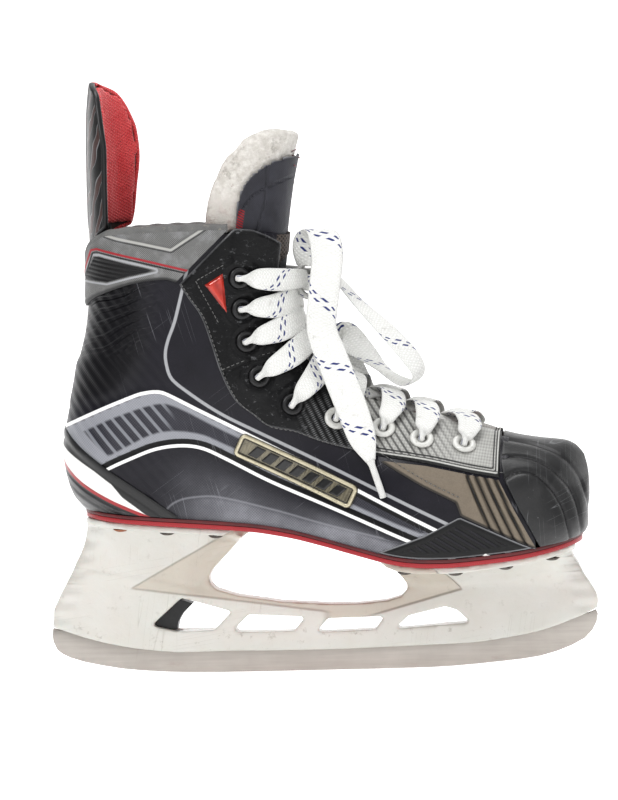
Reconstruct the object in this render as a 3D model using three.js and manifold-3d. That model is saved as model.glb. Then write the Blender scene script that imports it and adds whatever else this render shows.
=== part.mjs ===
// Ice hockey skate (right foot), millimetres, +Z up, toe towards +X, outer side towards -Y.
// The origin is the middle of the runner's running edge.
import * as THREE from "three";
import Module from "manifold-3d";

const wasm = await Module();
wasm.setup();

// ---------- driving dimensions ----------
const BLADE_T = 3.0;            // thickness of the steel runner
const SLOT_GAP = 0.4;           // play each side between runner and groove
const GAP = 0.3;                // clearance between neighbouring layers
const SHELL_T = 3.3;            // wall of the boot shell
const CAP_T = 4.2;              // wall of the toe cap
const CAP_PROUD = 0.8;          // how far the toe cap stands proud of the shell
const OVERLAY_T = 1.3;          // thickness of the sewn overlays
const LINING_T = 4.0;           // padded lining
const TONGUE_T = 6.0;           // tongue below the collar
const FELT_T = 9.0;             // felt of the tongue above the collar
const THROAT = 21;              // half gap between the two facings
const SOLE_T = 2.3;             // composite outsole
const RIM_T = 1.7;              // red welt plate
const FOOTBED_T = 3.2;          // removable insole
const FLANGE_T = 3.6;           // holder flange under the outsole
const RIVET_D = 4.0;            // rivet shank
const RIVET_HEAD_D = 8.4;
const RIVET_HEAD_T = 1.5;
const EYELET_D = 13;            // white eyelet flange
const EYELET_BORE = 5.4;
const LACE_W = 11;              // flat lace, width and thickness
const LACE_T = 1.5;
const TRIGGER_T = 8.6;          // width of the release trigger across the rail
const TRIGGER_GAP = 0.5;        // play each side of the trigger
const PIN_D = 3.6;              // trigger pin
const PIN_GAP = 0.25;
const RAIL_HALF = 6.4;          // half width of the holder rail

// ---------- side-view curves of the boot, [position, value] ----------
const BACK = [[60, -124], [91, -124.5], [95, -127.5], [100, -131.3], [107, -133.8], [115, -135.4],
  [124, -136.3], [131, -135.4], [139, -134.2], [149, -132], [159, -129.6], [169, -127.6],
  [179, -124.8], [187, -122.6], [197, -120.9], [209, -119.6], [224, -118.8], [300, -118.5]];
const FRONT = [[6, 296], [4, 288], [1, 278], [-2.6, 262], [-5.5, 244], [-7.5, 228], [-9, 212],
  [-8.8, 200], [-7, 189], [-1, 177.5], [9, 168], [20, 160], [32, 153.2], [46, 147], [60, 141.7],
  [72, 138], [80, 135.4], [90, 132], [100, 128], [110, 125.2], [120, 123.4], [130, 122],
  [136, 120.6], [140, 118.2], [143, 114.8], [145, 111], [147, 103]];
const TOE = [[55, 138.5], [68, 140], [72, 143], [76, 145.4], [83, 146.7], [95, 147], [101, 146.6],
  [107, 145.7], [113, 144.2], [120, 143]];
const SOLE = [[-140, 93.6], [-126, 92.4], [-100, 89.9], [-80, 88], [-60, 86.3], [-40, 84.5],
  [-30, 83.4], [-20, 81.7], [-10, 79.7], [0, 77.2], [10, 74.5], [20, 71.6], [30, 68.8], [40, 66.2],
  [50, 64.4], [60, 63.6], [70, 63.4], [80, 63.8], [90, 64.6], [100, 65.5], [110, 66.5],
  [120, 67.8], [130, 69.4], [141, 71.8], [150, 74]];
// half width of the boot over x (columns) and z (rows), before its edges are rounded
const WIDE_X = [-135, -100, -60, -20, 20, 60, 100, 145];
const WIDE_Z = [60, 80, 105, 130, 160, 200, 244, 300];
const WIDE = [
  [30, 33, 33, 35, 42, 49, 47, 40], [31, 34.5, 34, 36, 43.5, 51, 49, 42],
  [33, 36.5, 36, 36.5, 42, 48, 47, 42], [34, 38.5, 38.5, 37.5, 38, 42, 43, 40],
  [34, 39.5, 40.5, 38, 34, 36, 36, 36], [34, 38.5, 39.5, 36, 34, 34, 34, 34],
  [34, 38.5, 40, 37, 36, 36, 36, 36], [34, 38, 38, 35, 34, 34, 34, 34]];
const BACK_R = 33;              // rounding of the heel seen from above
const FRONT_R = 36;             // rounding under the front line
const TOE_R = 44;               // rounding of the toe seen from above
const TOE_P = 2.4;              // and its bluntness

// ---------- small maths ----------
const lerp = (a, b, t) => a + (b - a) * t;
const clamp = (v, a, b) => Math.min(b, Math.max(a, v));
// value of a table at p: cubic between the points, with no overshoot
function at(table, p) {
  const n = table.length;
  if (p <= table[0][0]) return table[0][1];
  if (p >= table[n - 1][0]) return table[n - 1][1];
  let i = 0;
  while (table[i + 1][0] < p) i++;
  const slope = (k) => (table[k + 1][1] - table[k][1]) / (table[k + 1][0] - table[k][0]);
  const tangent = (k) => {
    if (k === 0) return slope(0);
    if (k === n - 1) return slope(n - 2);
    const a = slope(k - 1);
    const b = slope(k);
    return a * b <= 0 ? 0 : (2 * a * b) / (a + b);
  };
  const h = table[i + 1][0] - table[i][0];
  const t = (p - table[i][0]) / h;
  const t2 = t * t;
  const t3 = t2 * t;
  return (2 * t3 - 3 * t2 + 1) * table[i][1] + (t3 - 2 * t2 + t) * h * tangent(i)
    + (3 * t2 - 2 * t3) * table[i + 1][1] + (t3 - t2) * h * tangent(i + 1);
}
const ease = (t) => t * t * (3 - 2 * t);
function wide(x, z) {
  const find = (list, v) => {
    const w = clamp(v, list[0], list[list.length - 1]);
    let i = 0;
    while (i < list.length - 2 && list[i + 1] < w) i++;
    return [i, ease((w - list[i]) / (list[i + 1] - list[i]))];
  };
  const [i, u] = find(WIDE_X, x);
  const [j, v] = find(WIDE_Z, z);
  return lerp(lerp(WIDE[j][i], WIDE[j][i + 1], u), lerp(WIDE[j + 1][i], WIDE[j + 1][i + 1], u), v);
}
function frontDistance(x, z) {
  let best = 1e9;
  for (let i = 0; i + 1 < FRONT.length; i++) {
    const [ax, az] = FRONT[i];
    const dx = FRONT[i + 1][0] - ax;
    const dz = FRONT[i + 1][1] - az;
    const t = clamp(((x - ax) * dx + (z - az) * dz) / (dx * dx + dz * dz), 0, 1);
    best = Math.min(best, Math.hypot(x - ax - t * dx, z - az - t * dz));
  }
  return best;
}
const round = (d, r) => {
  const q = 1 - clamp(d / r, 0, 1);
  return Math.sqrt(Math.max(0, 1 - q * q));
};
// half width of the boot at a point of its side view
function half(x, z) {
  const back = round(x - at(BACK, z), BACK_R);
  const toe = Math.pow(1 - Math.pow(1 - clamp((at(TOE, z) - x) / TOE_R, 0, 1), TOE_P), 1 / TOE_P);
  return wide(x, z) * back * toe * round(frontDistance(x, z), FRONT_R);
}

// ---------- section lines: [rear or bottom x, z, front or top x, z, share of the toe's bulge] ----------
const LINES = [[-118.5, 246, -5.2, 246], [-118.9, 222, -8.1, 222],
  [-119.8, 208, -8.9, 208], [-122, 192, -7.6, 192], [-124.2, 181, -3.2, 181], [-126.8, 172, 4.5, 172],
  [-129.4, 160, 14, 164.3], [-132.2, 148, 25, 157], [-134.7, 136, 34, 152.2], [-136.3, 124, 41, 149.2],
  [-134.9, 112, 46.5, 146.8], [-131.3, 100, 51, 145.1], [-124.5, 91.6, 55, 143.6], [-112, 90.5, 58, 142.5],
  [-88, 88.3, 61.6, 141.2], [-68, 86.4, 64.5, 140.3], [-42, 84.2, 68.5, 139.1], [-14, 80.1, 73, 137.7],
  [14, 72.9, 78.5, 135.9], [40, 65.7, 85, 133.7], [64, 63, 92, 131.2], [86, 63.8, 100, 128],
  [104, 65.4, 109, 125.5], [118, 67, 119, 123.6], [129, 68.9, 129, 122.1, 0.3], [136, 70.4, 136.4, 120.5, 0.6],
  [139.8, 71.2, 140.4, 117.9, 0.8], [141.8, 71.8, 142.6, 115.4, 0.92], [142.7, 72, 143.7, 113.8, 0.98],
  [143, 72.1, 144.2, 113, 1]];
const TONGUE_LINES = [[-62, 300, 6.6, 300], [-62, 290, 4.6, 290], [-62, 278, 1, 278],
  [-62, 262, -2.6, 262], [-62, 250, -4.6, 250], [-62, 238, -6.3, 238], [-62, 226, -7.7, 226],
  [-62, 212, -9, 212], [-60, 196, -8.3, 196], [-55, 180, -2.7, 180], [-46, 162, 9, 168],
  [-30, 142, 25, 157], [-8, 124, 41, 149.2], [18, 112, 55, 143.6], [42, 104, 68.5, 139.1],
  [64, 98, 82, 134.8], [84, 94, 96, 129.6], [98, 92, 105.5, 126.4]];

function rows(lines, n, toeEnd) {
  return lines.map(([bx, bz, fx, fz, bulge = 0], k) => {
    const row = [];
    for (let j = 0; j <= n; j++) {
      const s = (1 - Math.cos((Math.PI * j) / n)) / 2;
      const z = lerp(bz, fz, s);
      const x = lerp(bx, fx, s) + bulge * (at(TOE, z) - lerp(at(TOE, bz), at(TOE, fz), s));
      const y = (toeEnd && k === lines.length - 1) || j === n ? 0 : half(x, z);
      row.push(new THREE.Vector3(x, y, z));
    }
    return row;
  });
}
// outward directions of a grid of rows, mirrored over the middle plane where the grid ends on it
function outward(grid) {
  const mirror = (p) => new THREE.Vector3(p.x, -p.y, p.z);
  return grid.map((row, k) => row.map((p, j) => {
    const n = row.length - 1;
    const a = j > 0 ? row[j - 1] : p.y < 0.01 ? mirror(row[1]) : p;
    const b = j < n ? row[j + 1] : p.y < 0.01 ? mirror(row[n - 1]) : p;
    const c = grid[Math.max(0, k - 1)][j];
    const last = k === grid.length - 1;
    const d = last && p.y < 0.01 && j > 0 && j < n ? mirror(grid[k - 1][j]) : grid[Math.min(grid.length - 1, k + 1)][j];
    const u = new THREE.Vector3().subVectors(b, a);
    const v = new THREE.Vector3().subVectors(d, c);
    const m = new THREE.Vector3().crossVectors(u, v).normalize();
    if (p.y < 0.01) m.y = 0;
    return m.normalize();
  }));
}

// ---------- solids ----------
function solid(points, faces) {
  return new wasm.Manifold(new wasm.Mesh({
    numProp: 3, vertProperties: new Float32Array(points.flat()), triVerts: new Uint32Array(faces.flat())}));
}
function fixed(points, faces) {
  const made = solid(points, faces);
  return made.volume() < 0 ? solid(points, faces.map(([a, b, c]) => [a, c, b])) : made;
}
// closed body between two grids of the same size
function between(outer, inner) {
  const R = outer.length;
  const C = outer[0].length;
  const points = [...outer.flat(), ...inner.flat()].map((p) => [p.x, p.y, p.z]);
  const faces = [];
  const o = (k, j) => k * C + j;
  const i = (k, j) => R * C + k * C + j;
  const quad = (a, b, c, d) => faces.push([a, b, c], [a, c, d]);
  for (let k = 0; k + 1 < R; k++)
    for (let j = 0; j + 1 < C; j++) {
      quad(o(k, j), o(k, j + 1), o(k + 1, j + 1), o(k + 1, j));
      quad(i(k, j), i(k + 1, j), i(k + 1, j + 1), i(k, j + 1));
    }
  for (let j = 0; j + 1 < C; j++) {
    quad(o(0, j), i(0, j), i(0, j + 1), o(0, j + 1));
    quad(o(R - 1, j), o(R - 1, j + 1), i(R - 1, j + 1), i(R - 1, j));
  }
  for (let k = 0; k + 1 < R; k++) {
    quad(o(k, 0), o(k + 1, 0), i(k + 1, 0), i(k, 0));
    quad(o(k, C - 1), i(k, C - 1), i(k + 1, C - 1), o(k + 1, C - 1));
  }
  return fixed(points, faces);
}
function prism(outline, y0, y1) {
  const flat = outline.map(([x, z]) => new THREE.Vector2(x, z));
  if (THREE.ShapeUtils.isClockWise(flat)) flat.reverse();
  const caps = THREE.ShapeUtils.triangulateShape(flat, []);
  const n = flat.length;
  const points = [...flat.map((p) => [p.x, y0, p.y]), ...flat.map((p) => [p.x, y1, p.y])];
  const faces = [];
  for (const [a, b, c] of caps) faces.push([a, b, c], [n + a, n + c, n + b]);
  for (let i = 0; i < n; i++) {
    const j = (i + 1) % n;
    faces.push([i, n + i, n + j], [i, n + j, j]);
  }
  return fixed(points, faces);
}
// any three.js geometry, placed by a matrix, as a solid
function from(geometry, matrix) {
  const g = geometry.clone();
  if (matrix) g.applyMatrix4(matrix);
  g.deleteAttribute("uv");
  g.deleteAttribute("normal");
  const seen = new Map();
  const points = [];
  const index = [];
  const p = g.attributes.position;
  const order = g.index ? g.index.array : [...Array(p.count).keys()];
  for (const i of order) {
    const key = [p.getX(i), p.getY(i), p.getZ(i)].map((v) => Math.round(v * 1e4)).join();
    if (!seen.has(key)) {
      seen.set(key, points.length);
      points.push([p.getX(i), p.getY(i), p.getZ(i)]);
    }
    index.push(seen.get(key));
  }
  const faces = [];
  for (let i = 0; i < index.length; i += 3) {
    const [a, b, c] = index.slice(i, i + 3);
    if (a !== b && b !== c && a !== c) faces.push([a, b, c]);
  }
  return fixed(points, faces);
}
const toward = (origin, axis) => new THREE.Matrix4().compose(origin,
  new THREE.Quaternion().setFromUnitVectors(new THREE.Vector3(0, 1, 0), axis), new THREE.Vector3(1, 1, 1));
// turned piece: profile of [radius, height], its height along axis
const turned = (profile, origin, axis, sides) => from(new THREE.LatheGeometry(
  profile.map(([r, h]) => new THREE.Vector2(r, h)), sides), toward(origin, axis));
const rod = (r, h0, h1, origin, axis, sides = 12) => turned([[0, h0], [r, h0], [r, h1], [0, h1]], origin, axis, sides);
const tube = (r0, r1, h0, h1, origin, axis, sides = 8) => turned(
  [[r0, h0], [r1, h0], [r1, h1], [r0, h1], [r0, h0]], origin, axis, sides);
// flat band along points: each point is {p, n, w} with its centre, its face direction and its width
function band(list, t) {
  const ring = list.map(({p, n, w, a}, i) => {
    const q = list[Math.max(0, i - 1)].p;
    const r = list[Math.min(list.length - 1, i + 1)].p;
    const along = a ?? new THREE.Vector3().subVectors(r, q).normalize();
    const side = new THREE.Vector3().crossVectors(n, along).normalize();
    const up = new THREE.Vector3().crossVectors(along, side).normalize();
    const corner = (s, u) => p.clone().addScaledVector(side, s * w / 2).addScaledVector(up, u * t / 2);
    return [corner(-1, -1), corner(1, -1), corner(1, 1), corner(-1, 1)].map((v) => [v.x, v.y, v.z]);
  });
  const faces = [];
  for (let k = 0; k + 1 < ring.length; k++)
    for (let j = 0; j < 4; j++) {
      const a = 4 * k + j;
      const b = 4 * k + (j + 1) % 4;
      faces.push([a, b, b + 4], [a, b + 4, a + 4]);
    }
  const e = 4 * (ring.length - 1);
  faces.push([0, 2, 1], [0, 3, 2], [e, e + 1, e + 2], [e, e + 2, e + 3]);
  return fixed(ring.flat(), faces);
}
const all = (list) => list.reduce((a, b) => a.add(b));

// ---------- the boot's layers ----------
const GRID = rows(LINES, 8, true);
const DIRS = outward(GRID);
const TGRID = rows(TONGUE_LINES, 7, false);
const TDIRS = outward(TGRID);
function layer(side, a, b, grid = GRID, dirs = DIRS, shift = 0) {
  const put = (t) => grid.map((row, k) => row.map((p, j) => {
    const q = p.clone().addScaledVector(dirs[k][j], t);
    return new THREE.Vector3(q.x, side * (q.y + shift), q.z);
  }));
  return between(put(b), put(a));
}
// both sides as one body
const around = (a, b, grid, dirs) => layer(-1, a, b, grid, dirs, -0.03).add(layer(1, a, b, grid, dirs, -0.03));
const FAR = 90;
const cutSide = (side, outline) => (side < 0 ? prism(outline, -FAR, -GAP / 2) : prism(outline, GAP / 2, FAR));
const cutBoth = (outline) => prism(outline, -FAR, FAR);
const HALFSPACE = [[-200, 0], [200, 0], [200, 340], [-200, 340]];
// point and outward direction of the boot's surface at a side-view position
function onBoot(x, z, side, lift = 0) {
  const e = 0.6;
  const y = half(x, z);
  const n = new THREE.Vector3(-(half(x + e, z) - half(x - e, z)) / (2 * e), 1,
    -(half(x, z + e) - half(x, z - e)) / (2 * e)).normalize();
  const p = new THREE.Vector3(x, y, z).addScaledVector(n, lift);
  return {p: new THREE.Vector3(p.x, side * p.y, p.z), n: new THREE.Vector3(n.x, side * n.y, n.z)};
}

// the throat: everything between the facings, along the front line
function throat(grow) {
  const line = [[-1, 262, 0], [-7.5, 228, 0], [-9, 206, 0], [-3, 181, 1], [20, 160, 1], [46, 147, 1],
    [72, 138, 1], [84, 134, 1], [94, 130.6, 1]];
  const widths = [1.1, 1.05, 1, 0.95, 0.92, 0.9, 0.86, 0.78, 0.55];
  const points = [];
  const n = line.length;
  line.forEach(([x, z], i) => {
    const a = line[Math.max(0, i - 1)];
    const b = line[Math.min(n - 1, i + 1)];
    const len = Math.hypot(b[0] - a[0], b[1] - a[1]);
    const nx = -(b[1] - a[1]) / len;
    const nz = (b[0] - a[0]) / len;
    const w = THROAT * widths[i] + grow;
    for (const [d, s] of [[14, -1], [14, 1], [-22, 1], [-22, -1]]) points.push([x + nx * d, s * w, z + nz * d]);
  });
  const faces = [[0, 1, 2], [0, 2, 3]];
  for (let k = 0; k + 1 < n; k++)
    for (let j = 0; j < 4; j++) {
      const a = 4 * k + j;
      const b = 4 * k + (j + 1) % 4;
      faces.push([a, a + 4, b + 4], [a, b + 4, b]);
    }
  const e = 4 * (n - 1);
  faces.push([e, e + 2, e + 1], [e, e + 3, e + 2]);
  return fixed(points, faces);
}
const THROAT_CUT = throat(0);

const soleLine = (dz, x0 = -150, x1 = 160) => {
  const line = [];
  for (let x = x0; x <= x1; x += 10) line.push([x, at(SOLE, x) + dz]);
  return line;
};
const belowTop = [[-36, 238.6], [-60, 239.4], [-80, 239.6], [-99, 238.6], [-110, 235.4], [-116.5, 229.5],
  [-119.2, 222.5], [-130, 220.5]];
const bootBody = [...belowTop, [-160, 221], ...soleLine(GAP + 0.2), [160, 240], [-20, 240]];
const seamCap = [[101, 140], [101, 105.7], [120.3, 66], [160, 50], [160, 140]];
const seamCapShell = [[100.7, 140], [100.7, 105.6], [120, 66], [119, 40], [-170, 40], [-170, 260], [100.7, 260]];

// eyelets: side-view positions, the black ones sewn in the facing, the white ones set in the vamp
const DARK_EYES = [[-34.7, 214.9], [-34, 198.2], [-32, 180.8], [-25.6, 162.2], [-8.5, 146.6]];
const WHITE_EYES = [[14.4, 138], [39.2, 132], [59.5, 125.6], [81.6, 122]];
const bore = (r, side) => all([...DARK_EYES, ...WHITE_EYES].map(([x, z]) => {
  const {p, n} = onBoot(x, z, side);
  return rod(r, -9, 8, p, n, 8);
}));
const BORES = {"-1": bore(EYELET_BORE / 2 + 0.9, -1), "1": bore(EYELET_BORE / 2 + 0.9, 1)};

const parts = [];
function add(name, made, color, metal = 0, rough = 0.6) {
  const m = made.getMesh();
  const v = new Float32Array(m.numVert * 3);
  for (let i = 0; i < m.numVert; i++) v.set(m.vertProperties.subarray(i * m.numProp, i * m.numProp + 3), i * 3);
  const g = new THREE.BufferGeometry().setAttribute("position", new THREE.BufferAttribute(v, 3))
    .setIndex(new THREE.BufferAttribute(m.triVerts, 1));
  const mesh = new THREE.Mesh(g, new THREE.MeshStandardMaterial({color, metalness: metal, roughness: rough}));
  mesh.name = name;
  parts.push(mesh);
  return made;
}

// shell, in two halves with a seam at the heel
const shellCut = cutBoth(bootBody).intersect(cutBoth(seamCapShell));
for (const side of [-1, 1]) {
  const body = layer(side, -SHELL_T, 0).intersect(shellCut).intersect(cutSide(side, HALFSPACE))
    .subtract(THROAT_CUT).subtract(BORES[side]);
  add(side < 0 ? "quarter_lateral" : "quarter_medial", body, 0x2b2f3b);
}

// toe cap
const capBody = [[90, 160], [160, 160], ...soleLine(GAP + 0.2, 90, 160).reverse()];
add("toe_cap", around(CAP_PROUD - CAP_T, CAP_PROUD).intersect(cutBoth(seamCap)).intersect(cutBoth(capBody)), 0x1d1d1f);

// plates under the boot, their outline following the boot's lower edge
function plate(z0, z1, inset, x0, x1, count = 24) {
  const points = [];
  for (let i = 0; i <= count; i++) {
    const x = lerp(x0, x1, (1 - Math.cos((Math.PI * i) / count)) / 2);
    const z = at(SOLE, x);
    const back = round(x - x0, BACK_R - inset * 0.5);
    const toe = round(x1 - x, TOE_R - inset * 0.5);
    const w = Math.max(0.6, (wide(x, z + 6) - inset) * back * toe);
    points.push([x, -w, z + z0], [x, w, z + z0], [x, w, z + z1], [x, -w, z + z1]);
  }
  const faces = [[0, 2, 1], [0, 3, 2]];
  for (let k = 0; k < count; k++)
    for (let j = 0; j < 4; j++) {
      const a = 4 * k + j;
      const b = 4 * k + (j + 1) % 4;
      faces.push([a, b, b + 4], [a, b + 4, a + 4]);
    }
  const e = 4 * count;
  faces.push([e, e + 1, e + 2], [e, e + 2, e + 3]);
  return fixed(points, faces);
}
const soleTop = 0;
const rimLow = soleTop - RIM_T;
const outTop = rimLow - GAP;
const outLow = outTop - SOLE_T;
const flangeTop = outLow - GAP;
const seat = flangeTop - FLANGE_T;
const RIVETS = [[-104.3, 24], [-79, 25.5], [-52.8, 25.5], [48.6, 36.5], [75.4, 38], [101.8, 34], [126.3, 22.5]];
const UP = new THREE.Vector3(0, 1, 0).set(0, 0, 1);
const rivetAt = (x, y) => new THREE.Vector3(x, y, at(SOLE, x));
let outsole = plate(outLow, outTop, -0.4, -125.6, 142.6);
for (const [x, y] of RIVETS)
  for (const s of [-1, 1]) outsole = outsole.subtract(rod(RIVET_D / 2 + GAP, outLow - 3, outTop - 0.7, rivetAt(x, s * y), UP, 8));
add("outsole", outsole, 0x3a3a3e);
add("sole_rim", plate(rimLow, soleTop, -0.8, -126, 143), 0xa02228);
add("footbed", plate(soleTop + 2 * GAP, soleTop + 2 * GAP + FOOTBED_T, 9.5, -114, 134, 18), 0x3c3c40);

// lining of heel and ankle
const liningOut = [...belowTop.slice(1), [-160, 221], [-160, 103], [-110, 103], [-80, 101], [-50, 99], [-28, 100],
  [-30, 122], [-46, 145], [-58, 166], [-64, 190], [-65, 212], [-65.5, 238]];
for (const side of [-1, 1]) {
  const body = layer(side, -SHELL_T - GAP - LINING_T, -SHELL_T - GAP).intersect(cutSide(side, liningOut));
  add(side < 0 ? "lining_lateral" : "lining_medial", body, 0x232325);
}

// cuff: grey textile round the ankle, rolled over the top of the shell
const cuffOuter = [[-130, 221.5], [-119.6, 223.5], [-116.8, 231], [-110.2, 237.6], [-99, 240.6], [-80, 241.4],
  [-60, 241.4], [-39.4, 240.8], [-67.6, 213.8], [-75, 215.4], [-91, 213.6], [-109, 208], [-122, 201.5], [-140, 201]];
const cuffRoll = [[-112.6, 234.6], [-110, 236.2], [-99, 239.2], [-80, 240.2], [-60, 240], [-41, 239.3], [-38.6, 241.6],
  [-41, 243.4], [-60, 244.6], [-80, 244.6], [-99, 243.4], [-108.5, 241.2], [-112.8, 238.2]];
const cuffBand = around(GAP, 2.4).intersect(cutBoth(cuffOuter));
const rollBand = around(-SHELL_T - 1.6, 2.4).intersect(cutBoth(cuffRoll));
add("cuff", cuffBand.add(rollBand), 0x77797d);

// tendon guard: outer shell and red inner pad, above a line dropping to the heel seam
function guard(t0, t1, hug) {
  const level = [[222, 0], [232, 0], [243, 0], [255, 0], [268, 0], [282, 0], [296, 0], [308, 0], [316, 0], [324, 0]];
  const grid = [];
  const dirs = [];
  for (const [z] of level) {
    const backX = at([[222, -118.6], [240, -118.4], [270, -118.2], [300, -117.4], [324, -115]], z);
    const w = at([[222, 38], [240, 38], [290, 34], [312, 27], [324, 22]], z);
    const deep = at([[222, 33], [240, 32], [290, 27], [324, 20]], z);
    const row = [];
    const dir = [];
    for (let j = -8; j <= 8; j++) {
      const a = (j / 8) * 1.5;
      const m = new THREE.Vector3(-Math.cos(a) * w, Math.sin(a) * deep, 0).normalize();
      row.push(new THREE.Vector3(backX + deep * (1 - Math.cos(a)), w * Math.sin(a), z));
      dir.push(m);
    }
    grid.push(row);
    dirs.push(dir);
  }
  const put = (t) => grid.map((row, k) => row.map((p, j) => p.clone().addScaledVector(dirs[k][j], t)));
  return between(put(t1), put(t0));
}
const guardFoot = [[-130, 223.4], [-120, 224.4], [-117.4, 231.6], [-113.4, 237], [-113.8, 239.2], [-109.5, 242], [-99, 244.4], [-85, 245.6]];
const guardNear = [...guardFoot.slice(0, 6), [-106.6, 243.4], [-106.4, 262], [-106, 285], [-107.4, 296], [-109.8, 310], [-111.6, 318.5], [-114, 321], [-130, 321.4]];
const guardFar = [...guardFoot.slice(0, 7), [-101.5, 248], [-98, 266], [-95.6, 284], [-96.4, 296], [-100.5, 308], [-104.5, 315], [-109, 319.5], [-130, 321.4]];
const guardCut = prism(guardNear, -FAR, 0.01).add(prism(guardFar, 0, FAR));
const innerFoot = [[-119, 240], [-113, 239.5], [-108.5, 242], [-105, 243.8]];
const innerNear = [[-119, 246], [-106.8, 246], [-106.9, 262], [-106.6, 284], [-108, 296], [-110.3, 309], [-112.5, 316.5], [-130, 317], [-130, 246]];
const innerFar = [[-119, 246], [-102, 249], [-98.6, 266], [-96.2, 284], [-97, 296], [-101, 307], [-105.5, 314.5], [-130, 317], [-130, 246]];
add("tendon_guard", guard(-2.2, 0, 0).intersect(guardCut), 0x17171a);
add("tendon_guard_lining", guard(-6, -2.2 - GAP, 0).intersect(prism(innerNear, -FAR, 0.01).add(prism(innerFar, 0, FAR))), 0xb02a32);

// tongue: below the collar, then the felt panel and its black face above it
const TONGUE_IN = SHELL_T + 3.1;
const TONGUE_LOW_IN = SHELL_T + 5.5;
const tongueLow = [[104, 96], [84, 100], [60, 106], [34, 117], [10, 131], [-14, 148], [-34, 170], [-44, 192],
  [-49, 214], [-50, 237.6], [20, 237.6], [60, 200], [120, 150], [112, 100]];
const tongueUp = [[-52.5, 238.4], [-52.6, 246], [-50.5, 256], [-48, 264.5], [-43.5, 275], [-37, 283], [-29.5, 288.6],
  [-21, 291.6], [-12, 293], [-5, 292.6], [0, 290], [8, 284], [20, 270], [20, 238.4]];
const facePanel = [[-35.4, 239], [-34.6, 250], [-32.8, 258], [-29.5, 264.5], [-25, 269.5], [-19, 273.6], [-12, 276.6],
  [-4, 278.2], [12, 280], [20, 239]];
add("tongue_lower", around(-TONGUE_LOW_IN - TONGUE_T, -TONGUE_LOW_IN, TGRID, TDIRS).intersect(cutBoth(tongueLow)), 0x262120);
add("tongue_felt", around(-TONGUE_IN - FELT_T, -TONGUE_IN, TGRID, TDIRS).intersect(cutBoth(tongueUp)), 0xdcdad6);
add("tongue_face", around(-TONGUE_IN + GAP, -TONGUE_IN + GAP + 1.5, TGRID, TDIRS).intersect(cutBoth(facePanel)), 0x1c1c1f);

// overlays on each side
const facingOut = [[-36.6, 241.2], [-27, 240.4], [-19, 237], [-14, 232], [10, 230], [30, 200], [12.5, 160], [33.6, 119.4],
  [20.9, 122.6], [5.3, 127.4], [-8, 132.8], [-21.4, 136], [-29.3, 142.2], [-38.5, 150.2], [-45.2, 163.9],
  [-50, 179.6], [-55, 195], [-61.1, 204.6], [-66, 212.6]];
const vampOut = [[13, 175], [13, 160.2], [34.2, 119.2], [38, 118.2], [62, 113.8], [85, 108.2], [100.4, 105], [100.4, 150], [60, 175]];
const toeWrap = [[40, 115.4], [62, 112.6], [85, 107.4], [99.7, 104.2], [118.6, 66.6], [100, 61], [68, 58.8], [34, 66], [60, 76.2],
  [79.4, 86.2], [77.6, 93], [60, 102.4]];
const heelWrap = [[-160, 136.2], [-134.6, 136.2], [-123.4, 126.4], [-109.9, 116], [-90.1, 101.8], [-71.8, 87.4], [-71, 60], [-160, 60]];
const badgeOut = [[-41.6, 122.9], [-39.5, 127], [-33.5, 131.4], [-30.6, 131.5], [-10, 121.6], [24, 104.3], [26.9, 101.8], [26.4, 99.4],
  [20.6, 92.2], [17, 91.3], [0, 100.2], [-39.6, 119.6]];
const gemOut = [[-54.4, 210.4], [-47, 216.2], [-45.2, 196.6]];
const trim = cutBoth([...soleLine(GAP + 0.2, -150, 160), [160, 300], [-150, 300]]);
for (const side of [-1, 1]) {
  const word = side < 0 ? "lateral" : "medial";
  let facing = layer(side, GAP, GAP + OVERLAY_T).intersect(cutSide(side, facingOut)).subtract(THROAT_CUT);
  for (const [x, z] of DARK_EYES) {
    const {p, n} = onBoot(x, z, side);
    facing = facing.add(tube(EYELET_BORE / 2 + 0.9, 5.6, 0.7, 2.7, p, n));
  }
  add("facing_" + word, facing.subtract(BORES[side]), 0x18181a);
  let vamp = layer(side, GAP, GAP + OVERLAY_T).intersect(cutSide(side, vampOut));
  vamp = vamp.subtract(THROAT_CUT).subtract(BORES[side]);
  add("vamp_" + word, vamp, 0x9a9a9a);
  add("toe_wrap_" + word, layer(side, GAP, GAP + 1).intersect(cutSide(side, toeWrap)).intersect(trim), 0x6b6156);
  add("badge_" + word, layer(side, GAP, 2.8).intersect(cutSide(side, badgeOut)), 0xb6aa90, 0.3, 0.4);
  add("gem_" + word, layer(side, GAP * 2 + OVERLAY_T, 3.4).intersect(cutSide(side, gemOut)), 0xc23a24, 0, 0.3);
  WHITE_EYES.forEach(([x, z], i) => {
    const {p, n} = onBoot(x, z, side);
    const base = 2 * GAP + OVERLAY_T;
    const ring = turned([[EYELET_BORE / 2, -SHELL_T - 0.4], [EYELET_BORE / 2 + 0.6, -SHELL_T - 0.4],
      [EYELET_BORE / 2 + 0.6, base], [EYELET_D / 2, base], [EYELET_D / 2 - 1, base + 1.1],
      [EYELET_BORE / 2, base + 1.1], [EYELET_BORE / 2, -SHELL_T - 0.4]], p, n, 12);
    add("eyelet_" + word + "_" + (i + 1), ring, 0xe8e8e8);
  });
}
add("heel_wrap", around(GAP, GAP + 0.9).intersect(cutBoth(heelWrap)).intersect(trim), 0xd8d8d8);

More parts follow.
